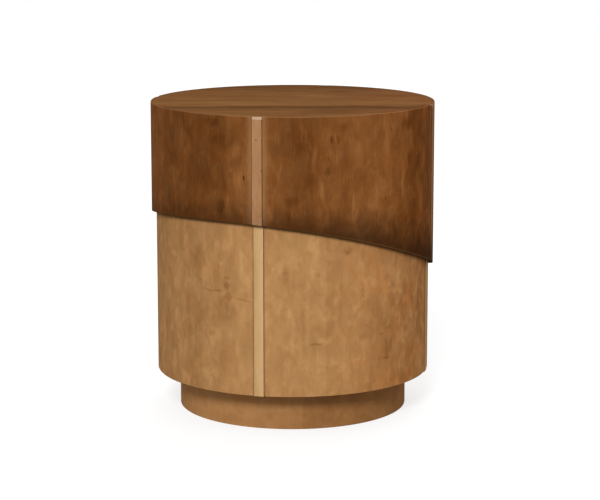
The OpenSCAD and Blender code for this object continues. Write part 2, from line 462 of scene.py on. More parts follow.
    def apply(self, modifier: bpy.types.Modifier) -> None:
        """Applies a modifier."""
        self.activate()
        bpy.ops.object.modifier_apply(modifier=modifier.name)

    def twin(self, name: str, turn: float = 0) -> "Blank":
        """Copies the piece, with a mesh of its own.

        Args:
            name: Name of the copy.
            turn: Angle by which it is turned about the drum's axis, in degrees.

        Returns:
            The copy.
        """
        copy = self.thing.copy()
        copy.data = self.thing.data.copy()
        bpy.context.scene.collection.objects.link(copy)
        copy.rotation_euler.z = math.radians(turn)
        return Blank(name, copy)

    def join(self, other: "Blank") -> None:
        """Takes another piece's mesh into this one.

        Args:
            other: The other piece, which is used up.
        """
        self.activate()
        other.thing.select_set(True)
        bpy.ops.object.join()

    def discard(self) -> None:
        """Throws the piece away."""
        bpy.data.objects.remove(self.thing)

    def finish(self, width: float, sharp: float = 40) -> bpy.types.Object:
        """Breaks the sharp edges and evens the shading across them.

        Args:
            width: Width of the broken edges, in mm.
            sharp: Least angle, in degrees, of an edge that is broken.

        Returns:
            The finished piece.
        """
        ease = self.thing.modifiers.new("broken edges", "BEVEL")
        ease.limit_method = "ANGLE"
        ease.angle_limit = math.radians(sharp)
        ease.width = width * MM
        ease.segments = self.FACETS
        self.apply(ease)
        bpy.ops.object.shade_smooth_by_angle(angle=math.radians(sharp))
        even = self.thing.modifiers.new("even shading", "WEIGHTED_NORMAL")
        even.keep_sharp = True
        self.apply(even)
        return self.thing


def linear(shade: str) -> tuple[float, float, float, float]:
    """Turns an sRGB hex colour into the linear one that the shaders take.

    Args:
        shade: The colour, such as #784720.

    Returns:
        Its red, green and blue, and an alpha of 1.
    """
    parts = [int(shade[i:i + 2], 16) / 255 for i in (1, 3, 5)]
    red, green, blue = (((p + 0.055) / 1.055) ** 2.4 if p > 0.04045 else p / 12.92 for p in parts)
    return red, green, blue, 1.0


def add(tree: bpy.types.NodeTree, kind: str, inputs: dict | tuple = (),
        **settings: object) -> bpy.types.Node:
    """Adds a node to a material or the world.

    Args:
        tree: Tree that the node goes into.
        kind: Kind of node, without its leading ShaderNode.
        inputs: Value of each input, or the socket that is linked to it, by name or in order.
        **settings: The node's own settings.

    Returns:
        The node.
    """
    node = tree.nodes.new("ShaderNode" + kind)
    for name, value in settings.items():
        setattr(node, name, value)
    named = inputs.items() if isinstance(inputs, dict) else enumerate(inputs)
    for socket, value in named:
        if isinstance(value, Socket):
            tree.links.new(value, node.inputs[socket])
        else:
            node.inputs[socket].default_value = value
    return node


def set_stops(ramp: bpy.types.ColorRamp, stops: list[tuple[float, tuple]]) -> None:
    """Gives a ramp its stops.

    Args:
        ramp: The ramp, as a new node has it.
        stops: Place and linear colour of each stop, from the first to the last.
    """
    while len(ramp.elements) > 1:
        ramp.elements.remove(ramp.elements[-1])
    ramp.elements[0].position = stops[0][0]
    ramp.elements[0].color = stops[0][1]
    for position, colour in stops[1:]:
        ramp.elements.new(position).color = colour


@dataclass(frozen=True)
class Figure:
    """One layer of a wood's figure.

    Attributes:
        width: Width of its marks across the grain, in mm.
        length: Their length along the grain, in mm.
        share: How much of the tone it makes.
        detail: Number of finer octaves.
        drift: How far its outlines wander.
    """

    width: float
    length: float
    share: float
    detail: float = 2
    drift: float = 0.4


@dataclass(frozen=True)
class Mark:
    """A mark of the wood itself, such as a knot, a flame or a mineral streak.

    Attributes:
        at: Turn of its middle, or on the top its distance to the right of the axis, in mm.
        up: Height of its middle, or on the top its distance behind the axis, in mm.
        wide: Half its width along the surface, in mm.
        tall: Half its height, or on the top half its depth, in mm.
        tone: How much lighter, or darker when below zero, it is.
        lean: Angle by which it leans, in degrees.
    """

    at: float
    up: float
    wide: float
    tall: float
    tone: float
    lean: float = 0


@dataclass(frozen=True)
class EdgeHighlight:
    """A painted highlight: a pale line along an edge, where it catches the light.

    Attributes:
        z_from: Height where it starts, in mm.
        z_to: Height where it is full, in mm.
        r_from: Least distance from the axis, in mm.
        shade: Its colour.
        amount: Its share of the colour.
        side_amount: Its share at the drum's left and right sides.
    """

    z_from: float
    z_to: float
    r_from: float
    shade: str
    amount: float
    side_amount: float


@dataclass(frozen=True)
class Seam:
    """A stripe along the joints beside the strips, paler or darker than the wood. A dark one is the dark
    joint line and also painted shade in the groove beside the strip.

    Attributes:
        clear: Distance from the strip's middle where the wood is still clean, in mm.
        full: Distance where the stripe is full, in mm.
        shade: Its colour.
        amount: Its share of the colour.
        joint: Turn of the front strip's middle, which the others follow at quarter turns.
    """

    clear: float
    full: float
    shade: str
    amount: float
    joint: float = Drum.strip_turn


@dataclass(frozen=True)
class Burnish:
    """Stain rubbed darker towards the slanted edge, with a highlight painted along its arris.

    Attributes:
        edge: The slanted edge.
        shade: The darkest stain.
        depth: How far up the darkening reaches at the left and at the right, in mm.
        amount: Its share of the colour at the left and at the right.
        ragged: How far the grain makes its upper end wander, in mm.
        arris: Width of the painted highlight on the arris, in mm.
        arris_from: Least distance from the axis of the arris, in mm.
        arris_highlight_shade: Colour of the painted highlight on the arris.
        arris_highlight_amount: Its share of the colour at the left and at the right.
    """

    edge: SlantedEdge = SlantedEdge()
    shade: str = "#2a170b"
    depth: Pair = (45, 76)
    amount: Pair = (0.45, 0.8)
    ragged: float = 26
    # The pale line along the arris is a painted highlight, where the edge catches the light, stronger to the
    # right.
    arris: float = 1.1
    arris_from: float = Drum.dark_r - 0.6
    arris_highlight_shade: str = "#8a6440"
    arris_highlight_amount: Pair = (0.12, 0.75)


@dataclass(frozen=True)
class UnderEdgeShadow:
    """Painted shadow under the slanted edge: the light wood below it is darkened where the dark layer
    overhangs it.

    Attributes:
        edge: The slanted edge.
        depth: How far down it reaches, in mm.
        shade: Its colour.
        amount: Its share of the colour at the edge.
    """

    edge: SlantedEdge = SlantedEdge()
    depth: float = 8
    shade: str = "#3a1d06"
    amount: float = 0.68


@dataclass(frozen=True)
class Wood:
    """A wood finish, with the real sizes of its figure in mm.

    Attributes:
        title: What the material is.
        deepest: Colour of knots and the darkest flames.
        dark: Colour of the dark figure.
        middle: The wood's own colour.
        light: Colour of the light figure.
        cast: Hue that the stain drifts to in broad patches.
        cast_right: That hue on the table's right, where it isn't the same. On the drum's walls it is painted
            shade, the deeper, more saturated colour of the shaded right side.
        grain: The way the grain runs.
        seed: Shift of the patterns, so that no two finishes look alike.
        broad: The broad figure.
        mottle: Soft blotches, where the wood took the stain unevenly.
        streak: Streaks along the grain.
        fibre: The fibres, which the relief follows too. They are several times as coarse as real
            ones, so that they show.
        flecks: Crisp flecks that lie in patches, pale ones or, with a share below zero, dark ones.
        cast_share: Least and most that the cast takes of the colour.
        strength: How strong the figure is at the table's left and right.
        roughness: Roughness of the oiled surface.
        sheen: Specular level, which is low because the oil lies in the pores and not on them.
        across: What the bands are laid across. The marks are placed to suit.
        bands: Place and tone of each band.
        marks: The wood's own marks.
        surface: Radius, or on the top the height, that the marks lie at, in mm.
        edge_highlight: Painted highlight along an edge.
        seams: What lies along the strips.
        burnish: Darkening towards the slanted edge.
        under_edge_shadow: Painted shadow under the slanted edge.
    """

    title: str
    deepest: str
    dark: str
    middle: str
    light: str
    cast: str
    grain: Grain = Grain.UPRIGHT
    seed: float = 0
    broad: Figure = Figure(42, 120, 0.4)
    mottle: Figure = Figure(17, 28, 0.4, 3, 0.9)
    streak: Figure = Figure(8, 44, 0.3, 2, 0.5)
    fibre: Figure = Figure(2.2, 30, 0.14, 3, 0)
    flecks: tuple[Figure, ...] = ()
    cast_right: str = ""
    cast_share: Pair = (0, 0.4)
    strength: Pair = (1, 1)
    roughness: float = 0.6
    sheen: float = 0.006
    across: Across = Across.TURN
    bands: tuple[Pair, ...] = ()
    marks: tuple[Mark, ...] = ()
    surface: float = Drum.light_r
    edge_highlight: EdgeHighlight | None = None
    seams: tuple[Seam, ...] = ()
    burnish: Burnish | None = None
    under_edge_shadow: UnderEdgeShadow | None = None

    def make(self) -> bpy.types.Material:
        """Makes the material.

        Returns:
            The material, ready to be put on a piece.
        """
        material, tree, _ = bare_material(self.title)
        Graining(tree, self).run()
        return material


class Graining:
    """Grows the nodes of a wood finish, from the figure to the worn edges."""

    # Width and length of the slow noise that bends the grain, and how far it shifts a point, in mm.
    GROWTH = (70, 200)
    WANDER = 9
    # The same of the noise that ruffles the outlines of the marks.
    RUFFLES = (14, 22)
    RUFFLE = 4
    # Contrast of each finer octave, and how the seed shifts the patterns along each axis.
    OCTAVES = 0.55
    SEED_STEPS = (1, 2.3, 4.1)
    # Half the depth of a mark, in mm, and how far in from its outline it is full.
    MARK_DEPTH = 30
    MARK_CORE = 0.75
    # Levels between which flecks set in, and levels of the mottle that they gather on.
    FLECK_SPAN = (0.56, 0.7)
    GATHER_SPAN = (0.42, 0.56)
    # Tones at which the deepest, the dark, the middle and the light colour stand.
    TONES = (0, 0.27, 0.5, 0.8)
    # Levels between which the cast sets in, and how far the outlines of its patches wander.
    CAST_SPAN = (0.4, 0.65)
    CAST_DRIFT = 0.6
    # Distance to the right, in mm, over which the strength and the cast change.
    RIGHT_REACH = 240
    # Distances from the middle, in mm, between which the rubbing changes, and the top's own reach.
    RUB_FROM = 20
    RUB_FULL = 150
    TOP_REACH = Drum.dark_r
    # Levels of the mottle between which a painted edge highlight is broken, and what is left of it there.
    BROKEN_SPAN = (0.35, 0.55)
    BROKEN_LEFT = 0.6
    # Distances over which the painted highlights along an edge and along the arris set in, in mm.
    HIGHLIGHT_FADE = 0.5
    ARRIS_FADE = 0.2
    # Swing of the roughness with the fibres, and strength and depth, in mm, of their relief.
    GLOSS_SWING = 0.06
    RELIEF = 0.2
    RELIEF_DEPTH = 0.12
    HALF_TURN = 180
    QUARTER_TURN = 90

    def __init__(self, tree: bpy.types.NodeTree, wood: Wood) -> None:
        """Starts the tree with the place of each point, as it is and bent a little by the growth.

        Args:
            tree: The material's tree.
            wood: The finish.
        """
        self.tree = tree
        self.wood = wood
        self.place = add(tree, "TexCoord").outputs["Object"]
        self.bent = self.shifted(self.GROWTH, self.WANDER)
        self.x, self.y, self.z = add(tree, "SeparateXYZ", (self.place,)).outputs
        flat = add(tree, "VectorMath", (self.place, (1, 1, 0)), operation="MULTIPLY")
        self.out = add(tree, "VectorMath", (flat.outputs[0],), operation="LENGTH").outputs["Value"]
        self.mottle = self.pattern(wood.mottle)

    def shifted(self, size: Pair, reach: float) -> Socket:
        """Shifts the place by a noise.

        Args:
            size: Width and length of the noise, in mm.
            reach: Most that it shifts a point, in mm.

        Returns:
            The shifted place.
        """
        tree = self.tree
        noise = add(tree, "TexNoise", {"Vector": self.stretched(self.place, size), "Scale": 1.0,
                                       "Detail": 1.0})
        centred = add(tree, "VectorMath", (noise.outputs["Color"], (0.5, 0.5, 0.5)), operation="SUBTRACT")
        scaled = add(tree, "VectorMath", {0: centred.outputs[0], "Scale": 2 * reach * MM}, operation="SCALE")
        return add(tree, "VectorMath", (self.place, scaled.outputs[0]), operation="ADD").outputs[0]

    def stretched(self, vector: Socket, size: Pair) -> Socket:
        """Scales a place so that a pattern of size 1 gets a real width and length.

        Args:
            vector: The place.
            size: Width and length in mm, the length along the grain.

        Returns:
            The scaled place.
        """
        width, length = size
        scale = [1 / ((length if along else width) * MM) for along in self.wood.grain.value]
        shift = [self.wood.seed * step for step in self.SEED_STEPS]
        return add(self.tree, "Mapping", {"Vector": vector, "Scale": scale, "Location": shift}).outputs[0]

    def pattern(self, figure: Figure) -> Socket:
        """Adds a layer of the figure.

        Args:
            figure: The layer's sizes.

        Returns:
            Its value at each point, about 0.5 on average.
        """
        place = self.stretched(self.bent, (figure.width, figure.length))
        noise = add(self.tree, "TexNoise", {"Vector": place, "Scale": 1.0, "Detail": figure.detail,
                                            "Roughness": self.OCTAVES, "Distortion": figure.drift})
        return noise.outputs[0]

    def sum_up(self, tone: Socket | float, value: Socket, share: Socket | float) -> Socket:
        """Adds a share of a value's distance from its middle to the tone."""
        apart = add(self.tree, "Math", (value, 0.5), operation="SUBTRACT").outputs[0]
        return add(self.tree, "Math", (apart, share, tone), operation="MULTIPLY_ADD").outputs[0]

    def times(self, *shares: Socket | float) -> Socket:
        """Multiplies shares.

        Args:
            *shares: The shares, the first of them a socket.

        Returns:
            Their product.
        """
        product = shares[0]
        for share in shares[1:]:
            product = add(self.tree, "Math", (product, share), operation="MULTIPLY").outputs[0]
        return product

    def turn_of(self, first: float, span: float) -> Socket:
        """Works out the turn of each point.

        Args:
            first: Least turn that is given, in degrees.
            span: Range that the turn is wrapped to, in degrees.

        Returns:
            The turn, in radians.
        """
        turn = add(self.tree, "Math", (self.x, self.times(self.y, -1.0)), operation="ARCTAN2").outputs[0]
        ends = (math.radians(first + span), math.radians(first))
        return add(self.tree, "Math", (turn, *ends), operation="WRAP").outputs[0]

    def band_tone(self) -> Socket:
        """Lays out the bands: leaves of veneer around the drum, streaks across the top, or on the strips
        painted shade that darkens the left and right ones.

        Returns:
            The tone of the band that a point is in.
        """
        tree, bands = self.tree, self.wood.bands
        if self.wood.across is Across.TURN:
            first = bands[0][0]
            last = first + self.HALF_TURN
            place = self.turn_of(first, self.HALF_TURN)
            ends = (math.radians(first), math.radians(last))
        else:
            first, last = -self.TOP_REACH, self.TOP_REACH
            place = add(tree, "SeparateXYZ", (self.bent,)).outputs[1]
            ends = (first * MM, last * MM)
        along = add(tree, "MapRange", (place, *ends))
        ramp = add(tree, "ValToRGB", (along.outputs[0],))
        stops = []
        for position, tone in bands:
            level = 0.5 + tone
            stops.append(((position - first) / (last - first), (level, level, level, 1)))
        set_stops(ramp.color_ramp, stops)
        return ramp.outputs[0]

    def mark_tone(self, tone: Socket, place: Socket, mark: Mark) -> Socket:
        """Adds one mark to the tone.

        Args:
            tone: The tone so far.
            place: The ruffled place.
            mark: The mark.

        Returns:
            The tone with the mark.
        """
        tree, surface = self.tree, self.wood.surface
        if self.wood.across is Across.TURN:
            middle = on_turn(mark.at, surface, mark.up)
            size = (mark.wide, self.MARK_DEPTH, mark.tall)
            turned = (0, math.radians(mark.lean), math.radians(mark.at))
        else:
            middle = Vector((mark.at, mark.up, surface))
            size = (mark.wide, mark.tall, self.MARK_DEPTH)
            turned = (0, 0, math.radians(mark.lean))
        own = add(tree, "Mapping", {"Vector": place, "Location": middle * MM, "Rotation": turned,
                                    "Scale": Vector(size) * MM}, vector_type="TEXTURE")
        ball = add(tree, "TexGradient", (own.outputs[0],), gradient_type="SPHERICAL")
        near = add(tree, "MapRange", (ball.outputs["Fac"], 0, self.MARK_CORE), **SOFTLY)
        return add(tree, "Math", (near.outputs[0], mark.tone, tone), operation="MULTIPLY_ADD").outputs[0]

    def over_cut(self, edge: SlantedEdge) -> Socket:
        """Works out the height of each point over the slanted cut.

        Args:
            edge: The cut.

        Returns:
            The height, in metres.
        """
        tree, bow = self.tree, edge.bow_r * MM
        own = add(tree, "Mapping", {"Vector": self.place, "Location": (0, 0, edge.mid_h * MM),
                                    "Rotation": edge.turned.to_euler("XYZ")}, vector_type="TEXTURE")
        upright = add(tree, "VectorMath", (own.outputs[0], (1, 0, 1), (0, 0, bow)), operation="MULTIPLY_ADD")
        reach = add(tree, "VectorMath", (upright.outputs[0],), operation="LENGTH")
        return add(tree, "Math", (reach.outputs["Value"], bow), operation="SUBTRACT").outputs[0]

    def rub_dark(self, colour: Socket, rub: Burnish) -> Socket:
        """Darkens the wood towards the slanted edge and paints a highlight along its arris.

        Args:
            colour: The colour so far.
            rub: The darkening and the painted highlight on the arris.

        Returns:
            The colour after it.
        """
        tree = self.tree
        start, full = self.RUB_FROM * MM, self.RUB_FULL * MM
        low, high = rub.depth
        depth = add(tree, "MapRange", (self.x, start, full, low * MM, high * MM), **SOFTLY).outputs[0]
        amount = add(tree, "MapRange", (self.x, -full, full, *rub.amount), **SOFTLY).outputs[0]
        above = self.over_cut(rub.edge)
        ragged = self.sum_up(above, self.mottle, rub.ragged * MM)
        near = add(tree, "MapRange", (ragged, 0, depth, 1, 0), **SOFTLY).outputs[0]
        share = self.times(near, amount)
        colour = add(tree, "Mix", {0: share, 6: colour, 7: linear(rub.shade)}, **COLOURED).outputs[2]
        # Painted highlight: a pale line along the slanted arris, where it catches the light.
        fade = (rub.arris_from * MM, (rub.arris_from + self.ARRIS_FADE) * MM)
        outer = add(tree, "MapRange", (self.out, *fade), **SOFTLY).outputs[0]
        thin = add(tree, "MapRange", (above, rub.arris / 2 * MM, rub.arris * MM, 1, 0), **SOFTLY).outputs[0]
        side = add(tree, "MapRange", (self.x, -start, full, *rub.arris_highlight_amount), **SOFTLY).outputs[0]
        share = self.times(thin, outer, side)
        return add(tree, "Mix", {0: share, 6: colour, 7: linear(rub.arris_highlight_shade)}, **COLOURED).outputs[2]

    def paint_edge_highlight(self, colour: Socket, edge: EdgeHighlight) -> Socket:
        """Paints a highlight along an edge, a pale line where it catches the light, broken here and there.

        Args:
            colour: The colour so far.
            edge: The painted highlight.

        Returns:
            The colour after it.
        """
        tree = self.tree
        rise = (edge.z_from * MM, edge.z_to * MM)
        high = add(tree, "MapRange", (self.z, *rise), **SOFTLY).outputs[0]
        fade = (edge.r_from * MM, (edge.r_from + self.HIGHLIGHT_FADE) * MM)
        outer = add(tree, "MapRange", (self.out, *fade), **SOFTLY).outputs[0]
        aside = add(tree, "Math", (self.x,), operation="ABSOLUTE").outputs[0]
        sides = (self.RUB_FROM * MM, self.TOP_REACH * MM, edge.amount, edge.side_amount)
        amount = add(tree, "MapRange", (aside, *sides), **SOFTLY).outputs[0]
        gaps = (*self.BROKEN_SPAN, self.BROKEN_LEFT, 1)
        broken = add(tree, "MapRange", (self.mottle, *gaps), **SOFTLY).outputs[0]
        share = self.times(high, outer, amount, broken)
        return add(tree, "Mix", {0: share, 6: colour, 7: linear(edge.shade)}, **COLOURED).outputs[2]

    def lay_seam(self, colour: Socket, seam: Seam) -> Socket:
        """Lays a stripe over the wood along the joints beside the strips.

        Args:
            colour: The colour so far.
            seam: The stripe.

        Returns:
            The colour after it.
        """
        tree, half = self.tree, self.QUARTER_TURN / 2
        turn = self.turn_of(seam.joint - half, self.QUARTER_TURN)
        signed = add(tree, "Math", (turn, math.radians(seam.joint)), operation="SUBTRACT").outputs[0]
        apart = add(tree, "Math", (signed,), operation="ABSOLUTE").outputs[0]
        span = (seam.clear * MM, seam.full * MM)
        near = add(tree, "MapRange", (self.times(apart, self.out), *span), **SOFTLY).outputs[0]
        share = self.times(near, seam.amount)
        return add(tree, "Mix", {0: share, 6: colour, 7: linear(seam.shade)}, **COLOURED).outputs[2]

    def paint_under_edge_shadow(self, colour: Socket, stain: UnderEdgeShadow) -> Socket:
        """Paints a shadow under the slanted edge, on the light wood below it.

        Args:
            colour: The colour so far.
            stain: The painted shadow.

        Returns:
            The colour after it.
        """
        tree, above = self.tree, self.over_cut(stain.edge)
        near = add(tree, "MapRange", (above, -stain.depth * MM, 0), **SOFTLY).outputs[0]
        share = self.times(near, stain.amount)
        return add(tree, "Mix", {0: share, 6: colour, 7: linear(stain.shade)}, **COLOURED).outputs[2]

    def figured(self, fibres: Socket) -> Socket:
        """Lays the figure, the bands and the marks over one another.

        Args:
            fibres: The layer of the fibres.

        Returns:
            The tone, which is 0.5 where the wood has its own colour.
        """
        tree, wood = self.tree, self.wood
        tone = self.sum_up(0.5, self.pattern(wood.broad), wood.broad.share)
        tone = self.sum_up(tone, self.mottle, wood.mottle.share)
        tone = self.sum_up(tone, self.pattern(wood.streak), wood.streak.share)
        tone = self.sum_up(tone, fibres, wood.fibre.share)
        for fleck in wood.flecks:
            crisp = add(tree, "MapRange", (self.pattern(fleck), *self.FLECK_SPAN), **SOFTLY).outputs[0]
            patch = add(tree, "MapRange", (self.mottle, *self.GATHER_SPAN), **SOFTLY).outputs[0]
            shown = self.times(crisp, patch)
            tone = add(tree, "Math", (shown, fleck.share, tone), operation="MULTIPLY_ADD").outputs[0]
        across = (0, self.RIGHT_REACH * MM, *wood.strength)
        tone = self.sum_up(0.5, tone, add(tree, "MapRange", (self.x, *across), **SOFTLY).outputs[0])
        if wood.bands:
            tone = self.sum_up(tone, self.band_tone(), 1)
        if wood.marks:
            ruffled = self.shifted(self.RUFFLES, self.RUFFLE)
            for mark in wood.marks:
                tone = self.mark_tone(tone, ruffled, mark)
        return tone

    def coloured(self, tone: Socket) -> Socket:
        """Turns the tone into the wood's colours and lets them drift to its cast.

        Args:
            tone: The tone.

        Returns:
            The colour of the clean wood.
        """
        tree, wood = self.tree, self.wood
        ramp = add(tree, "ValToRGB", (tone,))
        shades = (wood.deepest, wood.dark, wood.middle, wood.light)
        set_stops(ramp.color_ramp, list(zip(self.TONES, map(linear, shades))))
        patches = self.pattern(Figure(wood.broad.width, wood.broad.length / 2, 0, 2, self.CAST_DRIFT))
        drift = add(tree, "MapRange", (patches, *self.CAST_SPAN, *wood.cast_share), **SOFTLY).outputs[0]
        # On the drum's walls the right-hand cast is painted shade, the more saturated colour of the shaded
        # right side.
        aside = add(tree, "MapRange", (self.x, 0, self.RIGHT_REACH * MM), **SOFTLY).outputs[0]
        left, right = linear(wood.cast), linear(wood.cast_right or wood.cast)
        cast = add(tree, "Mix", {0: aside, 6: left, 7: right}, **COLOURED).outputs[2]
        return add(tree, "Mix", {0: drift, 6: ramp.outputs[0], 7: cast}, blend_type="COLOR",
                   **COLOURED).outputs[2]

    def run(self) -> None:
        """Colours the wood, lays its stains, its painted shade and its painted highlights over it, and sets
        its gloss and its relief.
        """
        tree, wood = self.tree, self.wood
        shader = tree.nodes["Principled BSDF"]
        fibres = self.pattern(wood.fibre)
        colour = self.coloured(self.figured(fibres))
        # Stripes beside the strips; the dark ones are joint lines with painted shade in the grooves.
        for seam in wood.seams:
            colour = self.lay_seam(colour, seam)
        if wood.burnish:
            colour = self.rub_dark(colour, wood.burnish)
        # Painted shadow under the slanted edge.
        if wood.under_edge_shadow:
            colour = self.paint_under_edge_shadow(colour, wood.under_edge_shadow)
        # Painted highlight along an edge, where it catches the light.
        if wood.edge_highlight:
            colour = self.paint_edge_highlight(colour, wood.edge_highlight)
        tree.links.new(colour, shader.inputs["Base Color"])
        levels = (*NOISE_SPAN, wood.roughness + self.GLOSS_SWING, wood.roughness - self.GLOSS_SWING)
        gloss = add(tree, "MapRange", (fibres, *levels))
        tree.links.new(gloss.outputs[0], shader.inputs["Roughness"])
        shader.inputs["Specular IOR Level"].default_value = wood.sheen
        relief = add(tree, "Bump", {"Strength": self.RELIEF, "Distance": self.RELIEF_DEPTH * MM,
                                    "Height": fibres})
        tree.links.new(relief.outputs[0], shader.inputs["Normal"])


def bare_material(title: str) -> tuple[bpy.types.Material, bpy.types.NodeTree, bpy.types.Node]:
    """Starts a material.

    Args:
        title: What the material is.

    Returns:
        The material, its tree and its shader.
    """
    material = bpy.data.materials.new(title)
    material.use_nodes = True
    return material, material.node_tree, material.node_tree.nodes["Principled BSDF"]


@dataclass(frozen=True)
class ZincSteel:
    """Bright zinc-plated steel: a cool grey metal, faintly clouded by its passivation.

    Attributes:
        title: What the material is.
        shade: Its colour.
        cloudy: Its colour where it is clouded.
        cloud: Size of the clouds, in mm.
        octaves: Number of finer octaves of the clouds.
        roughness: Least and most roughness.
    """

    title: str = "zinc plated steel"
    shade: str = "#b4b6b8"
    cloudy: str = "#9a9c9b"
    cloud: float = 5
    octaves: float = 4
    roughness: Pair = (0.26, 0.42)

    def make(self) -> bpy.types.Material:
        """Makes the material.

        Returns:
            The material.
        """
        material, tree, shader = bare_material(self.title)
        place = add(tree, "TexCoord").outputs["Object"]
        clouds = add(tree, "TexNoise", {"Vector": place, "Scale": 1 / (self.cloud * MM),
                                        "Detail": self.octaves}).outputs[0]
        shades = {6: linear(self.shade), 7: linear(self.cloudy)}
        colour = add(tree, "Mix", {0: clouds, **shades}, **COLOURED)
        dull = add(tree, "MapRange", (clouds, *NOISE_SPAN, *self.roughness))
        tree.links.new(colour.outputs[2], shader.inputs["Base Color"])
        tree.links.new(dull.outputs[0], shader.inputs["Roughness"])
        shader.inputs["Metallic"].default_value = 1.0
        return material


@dataclass(frozen=True)
class BlackNylon:
    """Moulded black nylon: a dark, slightly grey plastic with a spark-eroded grain and soft scuffs.

    Attributes:
        title: What the material is.
        shade: Its colour.
        scuffed: Its colour where it is scuffed.
        scuff: Size of the scuffs, in mm.
        scuff_octaves: Number of finer octaves of the scuffs.
        grit: Size of the grain, in mm. It is about ten times the real one, so that it shows.
        grit_octaves: Number of finer octaves of the grain.
        relief: Strength of the grain's relief.
        relief_depth: Its depth, in mm.
        roughness: Roughness of the surface.
    """

    title: str = "moulded black nylon"
    shade: str = "#2b2b2c"
    scuffed: str = "#38393a"
    scuff: float = 8
    scuff_octaves: float = 5
    grit: float = 0.6
    grit_octaves: float = 2
    relief: float = 0.4
    relief_depth: float = 0.05
    roughness: float = 0.5

    def make(self) -> bpy.types.Material:
        """Makes the material.

        Returns:
            The material.
        """
        material, tree, shader = bare_material(self.title)
        place = add(tree, "TexCoord").outputs["Object"]
        grain = add(tree, "TexNoise", {"Vector": place, "Scale": 1 / (self.grit * MM),
                                       "Detail": self.grit_octaves}).outputs[0]
        scuffs = add(tree, "TexNoise", {"Vector": place, "Scale": 1 / (self.scuff * MM),
                                        "Detail": self.scuff_octaves}).outputs[0]
        shades = {6: linear(self.shade), 7: linear(self.scuffed)}
        colour = add(tree, "Mix", {0: scuffs, **shades}, **COLOURED)
        bumps = add(tree, "Bump", {"Strength": self.relief, "Distance": self.relief_depth * MM,
                                   "Height": grain})
        tree.links.new(colour.outputs[2], shader.inputs["Base Color"])
        tree.links.new(bumps.outputs[0], shader.inputs["Normal"])
        shader.inputs["Roughness"].default_value = self.roughness
        return material


# Any of the table's finishes.
Finish = Wood | ZincSteel | BlackNylon


# Maple veneer on curved ply, stained walnut brown and hand rubbed: a blotchy red-brown with
# upright flames, darker where the stain was rubbed towards the slanted edge.
DARK_WOOD = Wood(
    title="walnut stained maple veneer",
    deepest="#3c1a06", dark="#5a3011", middle="#784720", light="#986438", cast="#6b4423",
    # The right-hand cast is painted shade: the deeper, more saturated colour of the shaded right side.
    cast_right="#6a3b17", cast_share=(0.2, 0.6), strength=(0.82, 1.15),
    seed=3.7, broad=Figure(38, 90, 0.42), mottle=Figure(22, 36, 0.37, 2, 0.7),
    streak=Figure(12, 50, 0.16, 1, 0.3), fibre=Figure(2.4, 40, 0.05, 2, 0),
    flecks=(Figure(2.6, 34, 0.1, 1, 0.3), Figure(2.8, 9, -0.1, 1, 0.5)), surface=Drum.dark_r,
    bands=((-103.7, 0.0), (-84, 0.0), (-66, 0.0), (-53, -0.12), (-38, -0.08), (-27, -0.12),
           (-25.5, 0.0), (-17, 0.04), (-12, 0.16), (-9, 0.06), (-3, -0.03), (7, -0.03), (9.5, 0.02),
           (17, 0.02), (26, 0.17), (40, 0.13), (45, 0.12), (50, 0.06), (56, -0.04), (66, -0.04), (76, 0.0)),
    marks=(Mark(-19.2, 448, 2.5, 7, -0.5), Mark(-21.5, 447, 14, 36, 0.12), Mark(15.1, 514, 4, 11, -0.17),
           Mark(17.8, 513, 4, 11, -0.17), Mark(13.4, 461, 8, 10, -0.13), Mark(52.8, 471, 9, 15, -0.16),
           Mark(59.8, 462, 18, 26, -0.13), Mark(8.1, 480, 6, 34, 0.14, 6), Mark(11.2, 428, 6, 40, 0.15, -8),
           Mark(48.2, 430, 6, 44, 0.18), Mark(38.8, 480, 16, 40, 0.1), Mark(23.9, 400, 2.6, 34, 0.25),
           Mark(35.1, 372, 2.4, 22, 0.25), Mark(-0.2, 508, 36, 34, -0.14), Mark(-27, 512, 30, 30, -0.12),
           Mark(-9.6, 386, 13, 20, 0.22), Mark(-10.2, 480, 10, 36, 0.1), Mark(15.5, 506, 12, 18, -0.08),
           Mark(-33, 540, 26, 12, -0.12), Mark(50.5, 530, 22, 14, -0.12), Mark(38.5, 402, 20, 18, -0.13),
           Mark(-0.5, 409, 20, 14, -0.13), Mark(-28.5, 398, 10, 16, -0.14), Mark(-24.5, 452, 8, 8, -0.1),
           Mark(-65, 468, 14, 26, 0.08), Mark(-54.6, 511, 10, 26, -0.1), Mark(-22, 497, 12, 26, 0.1),
           Mark(21.6, 358, 24, 12, 0.14), Mark(9, 456, 6, 16, 0.1)),
    # Painted highlight: a pale line along the rounded rim of the top, where it catches the light, weaker at
    # the sides.
    edge_highlight=EdgeHighlight(Drum.height - 1.4, Drum.height - 0.1, Drum.dark_r - 1.8, "#9c7554", 0.6, 0.2),
    # Beside each strip: a paler band of the wood, then a dark joint line that also paints the shade in the
    # groove.
    seams=(Seam(21, 9.6, "#a88058", 0.36), Seam(9.9, 9.2, "#2a1509", 0.2)),
    burnish=Burnish())

